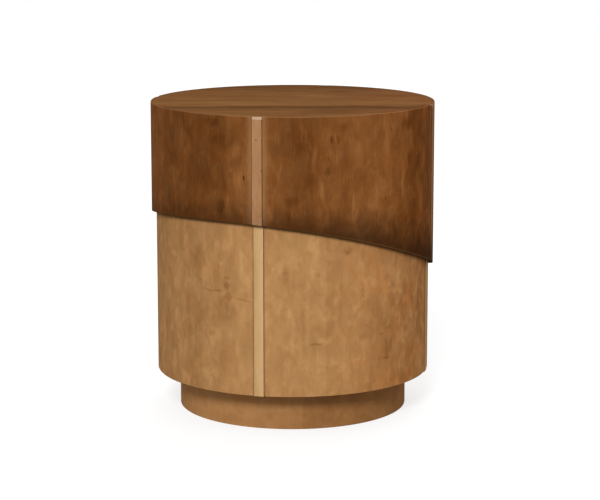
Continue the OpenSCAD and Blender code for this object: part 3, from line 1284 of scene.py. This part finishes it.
# The same stained maple on the flat boards of the top, with long streaks along them.
STAINED_TOP = Wood(
    title="walnut stained maple boards",
    deepest="#3d2210", dark="#5c3a1b", middle="#724a27", light="#866034", cast="#6e4927",
    cast_right="#784826", cast_share=(0.1, 0.6),
    grain=Grain.ALONG_X, seed=8.2, broad=Figure(34, 260, 0.3), mottle=Figure(22, 60, 0.35, 3, 0.8),
    streak=Figure(11, 180, 0.3), fibre=Figure(3, 90, 0.12, 3, 0), sheen=0.0005,
    across=Across.DEPTH, surface=Drum.height,
    bands=((-254, 0.06), (-200, 0.04), (-165, 0.04), (-138, -0.02), (-124, -0.2), (-96, -0.2),
           (-84, 0.12), (-50, 0.12), (0, 0.04), (60, 0.02), (150, -0.05), (200, -0.16), (254, -0.22)),
    marks=(Mark(90, 137, 30, 12, -0.22), Mark(142, -188, 26, 7, -0.2), Mark(-110, -30, 60, 12, 0.1),
           Mark(-165, -98, 80, 26, 0.18), Mark(195, -98, 50, 26, 0.12), Mark(64, -176, 75, 50, -0.12),
           Mark(32, 78, 50, 9, 0.2, 7), Mark(50, 58, 62, 8, 0.22, -5), Mark(36, 42, 44, 6, 0.16, 4),
           Mark(176, 34, 62, 8, 0.16, 5), Mark(192, 12, 50, 7, 0.14, -4)))

# Maple veneer under a thin honey stain: pale orange-brown leaves, each with its own tone,
# soft upright flames and a few mineral marks.
LIGHT_WOOD = Wood(
    title="honey stained maple veneer",
    deepest="#784c28", dark="#996a3e", middle="#b08050", light="#c69a67", cast="#ab8051",
    # The right-hand cast is painted shade: the deeper, more orange colour of the shaded right side.
    cast_right="#b4743e", cast_share=(0.3, 0.8), strength=(0.96, 1.2),
    seed=12.9, broad=Figure(40, 90, 0.28), mottle=Figure(17, 24, 0.44, 3, 0.6),
    streak=Figure(12, 44, 0.16, 1, 0.3), fibre=Figure(2.4, 30, 0.03, 2, 0),
    flecks=(Figure(2.6, 34, 0.05, 1, 0.3), Figure(22, 40, -0.1, 0, 0.6), Figure(18, 34, 0.09, 0, 0.6)),
    surface=Drum.light_r,
    bands=((-103.7, -0.06), (-66, -0.1), (-54, -0.07), (-44, -0.12), (-40, -0.13), (-39.4, -0.05),
           (-30, -0.07), (-22, 0.04), (-11, 0.06), (-4, 0.03), (6, 0.02), (13.1, 0.05), (13.6, -0.03),
           (20.3, -0.02), (20.8, 0.06), (30, 0.02), (38, -0.06), (48, -0.04), (54, -0.08),
           (66, -0.05), (76, 0.0)),
    marks=(Mark(-36.5, 248, 16, 2.4, -0.22), Mark(-31.5, 248, 14, 2.4, -0.22),
           Mark(-27.3, 258, 8, 11, -0.18), Mark(-26.8, 240, 12, 12, -0.24),
           Mark(-27.3, 272, 8, 5, -0.13), Mark(-20.6, 236, 26, 2.2, -0.2, 12),
           Mark(-29, 214, 30, 26, -0.12), Mark(9.7, 161, 15, 3.4, -0.24), Mark(39.6, 168, 13, 3, -0.14),
           Mark(44.2, 149, 4, 16, -0.2), Mark(41.4, 124, 15, 4, -0.16), Mark(41.5, 142, 15, 28, -0.16),
           Mark(22.5, 322, 15, 12, -0.16), Mark(22.5, 318, 4, 5, -0.2), Mark(4.5, 240, 3, 4, -0.14),
           Mark(-40.6, 306, 17, 40, -0.12), Mark(-2.7, 282, 8, 24, -0.14), Mark(42, 184, 26, 22, -0.14),
           Mark(67, 220, 18, 50, -0.14), Mark(-68, 150, 6, 60, 0.2), Mark(66, 108, 36, 50, 0.16),
           Mark(9.8, 282, 9, 8, -0.14), Mark(29.2, 166, 10, 9, -0.15), Mark(53.8, 166, 12, 12, -0.16),
           Mark(37, 268, 66, 56, 0.1), Mark(17, 122, 80, 36, 0.05), Mark(-34.6, 172, 9, 9, -0.14),
           Mark(-49, 325, 14, 24, 0.12), Mark(4.2, 190, 6, 60, -0.08), Mark(-8, 316, 12, 26, 0.08),
           Mark(50.5, 270, 22, 44, 0.12), Mark(29.3, 238, 7, 46, -0.1)),
    # A dark joint line beside each strip, which also paints the shade in the groove.
    seams=(Seam(12.5, 9.3, "#4a2a10", 0.3),),
    # Painted shadow under the dark layer's slanted edge, where it overhangs the light wood.
    under_edge_shadow=UnderEdgeShadow())

# Straight-grained maple lipping, rubbed with a little of the dark stain.
TAN_STRIP = Wood(
    title="tan rubbed maple lipping",
    deepest="#6e4527", dark="#94673f", middle="#ab7d56", light="#bc916a", cast="#bd8a60",
    seed=21.3, broad=Figure(14, 60, 0.3), mottle=Figure(7, 16, 0.2, 3, 0.6),
    streak=Figure(4, 40, 0.2), surface=Drum.dark_r + Drum.strip_proud,
    # The end bands paint the left and right strips darker: painted shade of the drum's shaded sides.
    bands=((-101, -0.2), (-60, 0.0), (50, 0.0), (74, -0.2)),
    marks=(Mark(-13.9, 515, 3, 2, -0.3), Mark(-12, 462, 2, 3, -0.3), Mark(-12.5, 385, 3, 2, -0.25)),
    burnish=Burnish(amount=(0, 0.8), arris_highlight_amount=(0, 0)),
    # Painted highlight on the bevelled heads of the front and back strips, where they catch the light from
    # above.
    edge_highlight=EdgeHighlight(Drum.height - 5.4, Drum.height - 4.6, Drum.shell_r, "#bca68c", 0.8, 0),
    # Dark flanks: the dark joint along the strip, with painted shade where it stands proud of the panels.
    seams=(Seam(8.3, 8.65, "#2e1709", 0.8),))

# The same lipping left almost bare, a pale cream against the honey veneer.
PALE_STRIP = Wood(
    title="pale maple lipping",
    deepest="#8d6736", dark="#b58c5b", middle="#c8a070", light="#d8b286", cast="#cda672",
    seed=27.8, broad=Figure(14, 70, 0.25), mottle=Figure(7, 18, 0.15, 3, 0.6),
    streak=Figure(4, 52, 0.2),
    # The end bands paint the left and right strips darker: painted shade of the drum's shaded sides.
    bands=((-101, -0.15), (-60, 0.0), (-15.6, -0.1), (-12, 0.12), (50, 0.0), (74, -0.15)),
    # Dark flanks: the dark joint along the strip, with painted shade where it stands proud of the panels.
    seams=(Seam(8.3, 8.65, "#5a3513", 0.7),),
    # Painted shadow under the dark layer's slanted edge, where it overhangs the strip.
    under_edge_shadow=UnderEdgeShadow())

# Honey stained maple on the plinth, a shade deeper, because it took more of the stain.
PLINTH_WOOD = Wood(
    title="honey stained maple on the plinth",
    deepest="#5f3b1a", dark="#865b33", middle="#9c6d42", light="#b48556", cast="#a87440",
    seed=33.1, broad=Figure(40, 60, 0.3), mottle=Figure(20, 20, 0.35, 3, 1.0),
    streak=Figure(10, 34, 0.14), surface=Drum.plinth_r,
    bands=((-85, 0.2), (-50, 0.24), (-20, 0.2), (-6, 0.12), (4.8, 0.08), (5.2, 0.0), (30, -0.04), (85, 0.06)),
    marks=(Mark(-31, 12, 26, 12, -0.12),))

# Planed poplar of the hidden frame: dull, pale yellow-brown, with greenish heartwood.
FRAME_WOOD = Wood(
    title="planed poplar",
    deepest="#7f6840", dark="#a98a5c", middle="#c0a070", light="#d2b78a", cast="#a8a070",
    seed=41.5, broad=Figure(30, 240, 0.5), streak=Figure(8, 120, 0.5), roughness=0.7)

# The same poplar in the curved rails, with its grain running round the drum.
RAIL_WOOD = Wood(
    title="planed poplar of the rails",
    deepest="#7f6840", dark="#a08256", middle="#b89768", light="#cdb083", cast="#a8a070",
    grain=Grain.AROUND, seed=44.4, broad=Figure(16, 160, 0.5), streak=Figure(6, 90, 0.5), roughness=0.7)

# Rotary-cut birch plywood: pale, with wide wandering figure and fine short pores.
DECK_PLYWOOD = Wood(
    title="birch plywood",
    deepest="#96734a", dark="#bd9c6e", middle="#cdb285", light="#dcc69e", cast="#c9a878",
    grain=Grain.ALONG_X, seed=52.6, broad=Figure(60, 260, 0.5), streak=Figure(16, 120, 0.35),
    fibre=Figure(2.4, 22, 0.3, 3, 0), roughness=0.7)

# Fluted beech dowels, pale pink-brown with short flecks.
DOWEL_WOOD = Wood(
    title="beech dowel",
    deepest="#a5804f", dark="#c4a274", middle="#d3b98c", light="#e0caa4", cast="#d4b088",
    grain=Grain.AROUND, seed=58.1, broad=Figure(6, 30, 0.4), mottle=Figure(3, 6, 0.2),
    streak=Figure(2, 16, 0.4), fibre=Figure(1, 8, 0.3, 3, 0), roughness=0.7)


class Palette:
    """Makes each finish once and puts it on the pieces."""

    def __init__(self) -> None:
        """Starts with no finish made."""
        self.made: dict[str, bpy.types.Material] = {}

    def material(self, finish: Finish) -> bpy.types.Material:
        """Gives a finish's material, made on its first use.

        Args:
            finish: The finish.

        Returns:
            Its material.
        """
        if finish.title not in self.made:
            self.made[finish.title] = finish.make()
        return self.made[finish.title]

    def dress(self, thing: bpy.types.Object, finish: Finish, slot: str,
              node: str, body: str = TABLE_BODY) -> None:
        """Gives a finished piece its material and its place in the frame.

        Args:
            thing: The finished piece.
            finish: Its finish.
            slot: The record's material slot. It is not used.
            node: CAD node that it stands for.
            body: CAD body that it rides on.
        """
        thing.data.materials.clear()
        thing.data.materials.append(self.material(finish))
        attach(thing, body)
        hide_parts(node)
        log.info("%s: %d faces, %s", thing.name, len(thing.data.polygons), finish.title)

    def redress(self, node: str, finish: Finish) -> None:
        """Gives a CAD node that stays a better material.

        Args:
            node: The CAD node.
            finish: Its finish.
        """
        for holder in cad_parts[node].material_slots:
            holder.material = self.material(finish)
        log.info("%s: kept, %s", node, finish.title)


@dataclass
class TableTop:
    """Three boards glued edge to edge and set into the rim of the dark panels.

    Attributes:
        drum: The shared sizes.
        palette: The finishes.
        sides: Number of sides of the round top.
        ease: Width of the boards' broken edges, in mm.
    """

    drum: Drum
    palette: Palette
    sides: int = 288
    ease: float = 0.5

    def build(self) -> None:
        """Turns the disc of the top and cuts it into its boards."""
        drum = self.drum
        disc = Blank.turned("top_disc", self.sides, [(drum.board_r, drum.case_top),
                                                     (drum.board_r, drum.height)])
        width = 2 * drum.board_r / len(Board)
        for board in Board:
            near = -drum.board_r + board.value * width
            piece = disc.twin(node_of("top_board", board) + "_shown")
            if board is not Board.FRONT:
                piece.cut((0, near, 0), (0, -1, 0))
            if board is not Board.BACK:
                piece.cut((0, near + width, 0), (0, 1, 0))
            self.palette.dress(piece.finish(self.ease), STAINED_TOP, "stained_top",
                               node_of("top_board", board))
        disc.discard()


@dataclass
class CurvedPanels:
    """What the rings of curved panels share: each ring is four copies of one quarter.

    Attributes:
        drum: The shared sizes.
        palette: The finishes.
    """

    drum: Drum
    palette: Palette

    def spin_and_trim(self, quarter: Blank) -> None:
        """Spins a profile into a quarter and trims its ends for the slots of the strips.

        Args:
            quarter: The profile.
        """
        drum = self.drum
        quarter.spin(drum.quarter, drum.quarter_steps)
        quarter.cut((drum.slot_half, 0, 0), (-1, 0, 0))
        quarter.cut((0, -drum.slot_half, 0), (0, 1, 0))

    def set_round(self, quarter: Blank, kind: str, turn: float, ease: float, finish: Wood, slot: str,
                  cutter: bpy.types.Object | None = None) -> None:
        """Copies a quarter to its four places, dresses the copies and throws the quarter away.

        Args:
            quarter: The quarter.
            kind: Kind of the panels' CAD nodes.
            turn: Turn where the first panel starts.
            ease: Width of the broken edges, in mm.
            finish: The panels' finish.
            slot: The record's material slot.
            cutter: The bar whose skin the panels' feet are cut to, where they are.
        """
        for corner in Corner:
            name = node_of(kind, corner)
            piece = quarter.twin(name + "_shown", turn + self.drum.quarter * corner.value)
            if cutter:
                piece.lay_on(cutter, self.drum.foot_line)
            self.palette.dress(piece.finish(ease), finish, slot, name)
        quarter.discard()


@dataclass
class DarkLayer(CurvedPanels):
    """The dark outer layer: four curved panels with a rim, cut along the slanted edge.

    Attributes:
        rim_ease: Radius of the round along the rim, in mm.
        rim_facets: Number of its facets.
        ease: Width of the other broken edges, in mm.
    """

    rim_ease: float = 1.5
    rim_facets: int = 4
    ease: float = 0.7

    def build(self, cutter: bpy.types.Object) -> None:
        """Spins one rebated quarter and cuts its four copies to the slanted edge.

        Args:
            cutter: The bar whose skin is the cut.
        """
        drum = self.drum
        quarter = Blank.profile("dark_quarter", drum.rim_r, drum.dark_r, drum.blank_foot, drum.height)
        quarter.cut((0, 0, drum.case_top), (0, 0, 1), keep_both=True)
        back = drum.rim_r - drum.light_r - drum.glue_line
        quarter.extrude("EDGE", lambda centre, way: abs(centre.y + drum.rim_r) < NEAR
                        and centre.z < drum.case_top and abs(way.z) > ALONG, (0, back, 0))
        self.spin_and_trim(quarter)
        quarter.round_rim(drum.height, drum.dark_r, self.rim_ease, self.rim_facets)
        self.set_round(quarter, "dark_panel", drum.strip_turn, self.ease, DARK_WOOD, "dark_wood", cutter)


@dataclass
class LightDrum(CurvedPanels):
    """The light drum under it: four curved panels, eased along their lower edge.

    Attributes:
        foot_ease: Radius of the round along the lower edge, in mm.
        foot_facets: Number of its facets.
        ease: Width of the other broken edges, in mm.
    """

    foot_ease: float = 1.2
    foot_facets: int = 3
    ease: float = 0.4

    def build(self) -> None:
        """Spins one quarter and copies it round the drum."""
        drum = self.drum
        quarter = Blank.profile("light_quarter", drum.shell_r, drum.light_r, drum.plinth_h, drum.case_top)
        self.spin_and_trim(quarter)
        quarter.round_rim(drum.plinth_h, drum.light_r, self.foot_ease, self.foot_facets)
        self.set_round(quarter, "light_panel", drum.strip_turn, self.ease, LIGHT_WOOD, "light_wood")


@dataclass
class Plinth(CurvedPanels):
    """The recessed plinth: four curved panels that meet at fine joints.

    Attributes:
        foot_ease: Radius of the round along the floor, in mm.
        foot_facets: Number of its facets.
        ease: Width of the other broken edges, in mm.
    """

    foot_ease: float = 1
    foot_facets: int = 3
    ease: float = 0.35

    def build(self) -> None:
        """Spins one quarter and copies it round the plinth."""
        drum = self.drum
        quarter = Blank.profile("plinth_quarter", drum.plinth_in_r, drum.plinth_r, 0, drum.plinth_h)
        quarter.spin(drum.quarter, drum.quarter_steps)
        quarter.round_rim(0, drum.plinth_r, self.foot_ease, self.foot_facets)
        self.set_round(quarter, "plinth_panel", drum.plinth_turn, self.ease, PLINTH_WOOD, "plinth_wood")


@dataclass
class Strips:
    """The upright strips over the joints: a tan one on the dark layer, a pale one below it.

    Attributes:
        drum: The shared sizes.
        palette: The finishes.
        cap_h: Height of the bevel at the upper strips' head, in mm.
        cap_d: Its depth, in mm.
        cap_drop: How far the head lies under the table's top, in mm.
        cap_sharp: Least angle, in degrees, of an edge of the upper strips that is broken.
        ease: Width of the broken edges, in mm.
    """

    drum: Drum
    palette: Palette
    cap_h: float = 4.5
    cap_d: float = 2.5
    cap_drop: float = 0.5
    cap_sharp: float = 25
    ease: float = 0.6

    def build(self, cutter: bpy.types.Object) -> None:
        """Makes one strip of each kind and copies it to the four joints.

        Args:
            cutter: The bar whose skin is the cut below the upper strips.
        """
        drum = self.drum
        half = drum.strip_w / 2
        lower_face = drum.light_r + drum.strip_proud
        upper_face = drum.dark_r + drum.strip_proud
        strip_top = drum.height - self.cap_drop
        lower = Blank.block("lower_strip", (-half, -lower_face, drum.plinth_h),
                            (half, -drum.shell_r, drum.case_top))
        upper = Blank.block("upper_strip", (-half, -upper_face, drum.blank_foot),
                            (half, -drum.rim_r, strip_top))
        upper.cut((0, 0, drum.case_top), (0, 0, 1), keep_both=True)
        upper.extrude("FACE", lambda centre, normal: normal.y > ALONG and centre.z < drum.case_top,
                      (0, drum.rim_r - lower_face, 0))
        upper.cut((0, -upper_face, strip_top - self.cap_h), (0, -self.cap_h, self.cap_d))
        for place in Place:
            turn = drum.strip_turn + drum.quarter * place.value
            name = node_of("lower_strip", place)
            piece = lower.twin(name + "_shown", turn)
            self.palette.dress(piece.finish(self.ease), PALE_STRIP, "pale_strip", name)
            name = node_of("upper_strip", place)
            piece = upper.twin(name + "_shown", turn)
            piece.lay_on(cutter, drum.foot_line)
            self.palette.dress(piece.finish(self.ease, self.cap_sharp), TAN_STRIP, "tan_strip", name)
        lower.discard()
        upper.discard()


@dataclass
class Levellers:
    """The levelling feet: a threaded stem with a hexagon, and the pad that it turns in.

    Attributes:
        drum: The shared sizes.
        palette: The finishes.
        pad_r: Radius of the pad, in mm, as all sizes here.
        pad_edge_h: Height of its upright edge.
        pad_neck_r: Radius of its upper end.
        pad_h: Its height.
        pivot_r: Radius of the stem's neck in the pad.
        rim_r: Radius of the rim that the pad holds.
        rim_h: Height of that rim.
        pivot_floor: Height of its underside above the floor.
        play: Clearance between stem and pad.
        hex_r: Radius of the hexagon, across its corners.
        hex_z: Height of its underside.
        hex_h: Its own height.
        hex_chamfer: Width of its chamfers.
        thread_r: Radius over the thread.
        thread_root: Radius at its root.
        pitch: Its pitch.
        stem_top: Height of the stem's upper end.
        thread_steps: Number of facets of a turn of the thread.
        sides: Number of sides of the round parts.
        stem_sharp: Least angle, in degrees, of an edge of the stem that is shown sharp.
        pad_ease: Width of the pad's broken edges.
        pad_sharp: Least angle, in degrees, of an edge of the pad that is broken.
    """

    drum: Drum
    palette: Palette
    pad_r: float = 15
    pad_edge_h: float = 3
    pad_neck_r: float = 9
    pad_h: float = 9.5
    pivot_r: float = 3.5
    rim_r: float = 5.2
    rim_h: float = 2
    pivot_floor: float = 2.5
    play: float = 0.1
    hex_r: float = 7.5
    hex_z: float = 10.3
    hex_h: float = 4
    hex_chamfer: float = 0.6
    thread_r: float = 4
    thread_root: float = 3.3
    pitch: float = 1.25
    stem_top: float = 43.2
    thread_steps: int = 24
    sides: int = 48
    stem_sharp: float = 35
    pad_ease: float = 0.35
    pad_sharp: float = 30

    def thread(self) -> Blank:
        """Winds a ridge up the stem and cuts it off level at both ends.

        Returns:
            The threaded rod, on the Z axis.
        """
        start = self.hex_z + self.hex_h
        turns = math.ceil((self.stem_top - start) / self.pitch) + 2
        deselect()
        bpy.ops.mesh.primitive_circle_add(vertices=4, radius=1, fill_type="NOTHING",
                                          rotation=(math.radians(90), 0, 0))
        rod = Blank("thread")
        # Without its inner corner the square on its point is a V, the section of the ridge.
        rod.pick("VERT", lambda centre, way: centre.x < -1)
        bpy.ops.mesh.delete(type="VERT")
        rod.close()
        rod.thing.scale = ((self.thread_r - self.thread_root) * MM, 1, self.pitch / 2 * MM)
        rod.thing.location = (self.thread_root * MM, 0, (start - self.pitch) * MM)
        rod.settle()
        wind = rod.thing.modifiers.new("wind the thread", "SCREW")
        wind.axis = "Z"
        wind.angle = math.radians(360)
        wind.screw_offset = self.pitch * MM
        wind.iterations = turns
        wind.steps = self.thread_steps
        wind.render_steps = self.thread_steps
        wind.use_merge_vertices = True
        rod.apply(wind)
        rod.turn_faces_out()
        rod.cut((0, 0, self.stem_top), (0, 0, 1))
        rod.cut((0, 0, start - self.play), (0, 0, -1))
        return rod

    def stem(self) -> Blank:
        """Makes a stem: thread, hexagon and the pivot that the pad holds.

        Returns:
            The stem, on the Z axis.
        """
        narrow = self.hex_r - self.hex_chamfer
        hex_top = self.hex_z + self.hex_h
        hexagon = Blank.turned("leveller_stem", 6, [
            (narrow, self.hex_z), (self.hex_r, self.hex_z + self.hex_chamfer),
            (self.hex_r, hex_top - self.hex_chamfer), (narrow, hex_top)])
        pivot = Blank.turned("pivot", self.sides, [
            (self.rim_r, self.pivot_floor), (self.rim_r, self.pivot_floor + self.rim_h),
            (self.pivot_r, self.pivot_floor + self.rim_h), (self.pivot_r, self.hex_z + self.play)])
        hexagon.join(pivot)
        hexagon.join(self.thread())
        return hexagon

    def pad(self) -> Blank:
        """Makes a pad: a low cone with the undercut socket of the pivot.

        Returns:
            The pad, on the Z axis.
        """
        roof = self.pivot_floor + self.rim_h + self.play
        return Blank.turned("leveller_pad", self.sides, [
            (self.pad_r, 0), (self.pad_r, self.pad_edge_h), (self.pad_neck_r, self.pad_h),
            (self.pivot_r + self.play, self.pad_h), (self.pivot_r + self.play, roof),
            (self.rim_r + self.play, roof), (self.rim_r + self.play, self.pivot_floor - self.play)])

    def build(self) -> None:
        """Makes one leveller and copies it behind the four joints of the plinth."""
        stem = self.stem()
        pad = self.pad()
        for piece in (stem, pad):
            piece.thing.location = (0, -self.drum.levellers_at * MM, 0)
            piece.settle()
        for place in Place:
            turn = self.drum.plinth_turn + self.drum.quarter * place.value
            name = node_of("leveller_stem", place)
            made = stem.twin(name + "_shown", turn)
            bpy.ops.object.shade_smooth_by_angle(angle=math.radians(self.stem_sharp))
            self.palette.dress(made.thing, ZincSteel(), "zinc_steel", name, node_of("stem", place))
            name = node_of("leveller_pad", place)
            made = pad.twin(name + "_shown", turn)
            eased = made.finish(self.pad_ease, self.pad_sharp)
            self.palette.dress(eased, BlackNylon(), "black_nylon", name, node_of("pad", place))
        stem.discard()
        pad.discard()


@dataclass
class HiddenFrame:
    """The posts, rails, deck, blocks and fixings, whose CAD shapes are shown as they are.

    Attributes:
        palette: The finishes.
    """

    palette: Palette

    def build(self) -> None:
        """Gives every CAD node of the hidden frame its finish."""
        for place in Place:
            self.palette.redress(node_of("post", place), FRAME_WOOD)
            self.palette.redress(node_of("plinth_block", place), FRAME_WOOD)
        for corner in Corner:
            self.palette.redress(node_of("top_rail", corner), RAIL_WOOD)
            self.palette.redress(node_of("middle_rail", corner), RAIL_WOOD)
        self.palette.redress("bottom_deck", DECK_PLYWOOD)
        self.palette.redress("rail_dowels", DOWEL_WOOD)
        for node in ("top_screws", "post_screws", "plinth_screws", "leveller_nuts"):
            self.palette.redress(node, ZincSteel())


@dataclass(frozen=True)
class Lamp:
    """A soft studio light, far enough away to be even.

    Attributes:
        name: Its name.
        turn: Turn that it stands at.
        rise: Its height above the horizon, in degrees.
        level: Brightness that it gives a white surface that faces it.
        spread: Its width as seen from the table, in degrees.
    """

    name: str
    turn: float
    rise: float
    level: float
    spread: float

    # Distance of the light's own marker from the origin, in metres. A sun shines the same from any.
    FAR = 2

    def hang(self) -> None:
        """Hangs the light and aims it at the table."""
        deselect()
        bpy.ops.object.light_add(type="SUN")
        lamp = bpy.context.object
        lamp.name = self.name
        up = math.radians(self.rise)
        away = on_turn(self.turn, math.cos(up), math.sin(up))
        lamp.rotation_euler = away.to_track_quat("Z", "Y").to_euler()
        lamp.location = self.FAR * away
        lamp.data.energy = self.level * math.pi
        lamp.data.angle = math.radians(self.spread)


@dataclass
class Studio:
    """A white studio: pale floor, soft lights and the camera at the photograph's view.

    Attributes:
        ambient: Brightness of the surroundings, as they light the table.
        floor_size: Width of the floor, in metres.
        floor_shade: Its colour.
        floor_lift: Glow that shows it white while it keeps the table's shadow.
        camera_at: Place of the camera, in metres.
        camera_down: Angle by which it looks down, in degrees.
        camera_right: Angle by which it looks to the right, in degrees.
        lens: Its focal length, in mm.
        sensor: Width of its sensor, in mm.
        lamps: The lights.
    """

    ambient: float = 0.6
    floor_size: float = 16
    floor_shade: str = "#a1a1a1"
    floor_lift: float = 0.7
    camera_at: Point = (0, -3.6706, 0.9718)
    camera_down: float = 10.684
    camera_right: float = 0.2066
    lens: float = 123.46
    sensor: float = 36
    lamps: tuple[Lamp, ...] = (Lamp("key light", -9, 34.5, 0.615, 15),
                               Lamp("back light", 166, 30, 0.3, 60))

    def lay_floor(self) -> None:
        """Lays the floor, which shows white but keeps the table's shadow."""
        deselect()
        bpy.ops.mesh.primitive_plane_add(size=self.floor_size)
        floor = bpy.context.object
        floor.name = "floor"
        material, tree, _ = bare_material("white studio floor")
        tree.nodes.clear()
        paint = add(tree, "BsdfDiffuse", {"Color": linear(self.floor_shade)})
        seen = add(tree, "LightPath").outputs["Is Camera Ray"]
        lift = add(tree, "Math", (seen, self.floor_lift), operation="MULTIPLY")
        glow = add(tree, "Emission", {"Strength": lift.outputs[0]})
        both = add(tree, "AddShader", (paint.outputs[0], glow.outputs[0]))
        add(tree, "OutputMaterial", {"Surface": both.outputs[0]})
        floor.data.materials.append(material)

    def light(self) -> None:
        """Sets the white surroundings and hangs the lights."""
        world = bpy.data.worlds.new("white studio")
        bpy.context.scene.world = world
        world.use_nodes = True
        tree = world.node_tree
        tree.nodes.clear()
        ray = add(tree, "LightPath")
        mirrored = add(tree, "Math", (ray.outputs["Is Glossy Ray"], ray.outputs["Is Transmission Ray"]),
                       operation="MAXIMUM")
        shown = add(tree, "Math", (ray.outputs["Is Camera Ray"], mirrored.outputs[0]), operation="MAXIMUM")
        level = add(tree, "MapRange", (shown.outputs[0], 0, 1, self.ambient, 1))
        glow = add(tree, "Background", {"Color": (1, 1, 1, 1), "Strength": level.outputs[0]})
        add(tree, "OutputWorld", {"Surface": glow.outputs[0]})
        for lamp in self.lamps:
            lamp.hang()

    def aim_camera(self) -> None:
        """Puts the camera at the photograph's view."""
        deselect()
        bpy.ops.object.camera_add(location=self.camera_at,
                                  rotation=(math.radians(90 - self.camera_down), 0,
                                            math.radians(-self.camera_right)))
        camera = bpy.context.object
        camera.data.sensor_fit = "HORIZONTAL"
        camera.data.sensor_width = self.sensor
        camera.data.lens = self.lens
        bpy.context.scene.camera = camera
        bpy.context.scene.view_settings.view_transform = "Standard"

    def build(self) -> None:
        """Sets up the whole studio."""
        self.aim_camera()
        self.lay_floor()
        self.light()


def main() -> None:
    """Builds the table's looks and the studio around them."""
    logging.basicConfig(level=logging.INFO, format="%(message)s")
    drum = Drum()
    palette = Palette()
    Studio().build()
    cutter = SlantedEdge().cutter()
    TableTop(drum, palette).build()
    DarkLayer(drum, palette).build(cutter)
    LightDrum(drum, palette).build()
    Strips(drum, palette).build(cutter)
    Plinth(drum, palette).build()
    Levellers(drum, palette).build()
    HiddenFrame(palette).build()
    bpy.data.objects.remove(cutter)


if __name__ == "__main__":
    main()
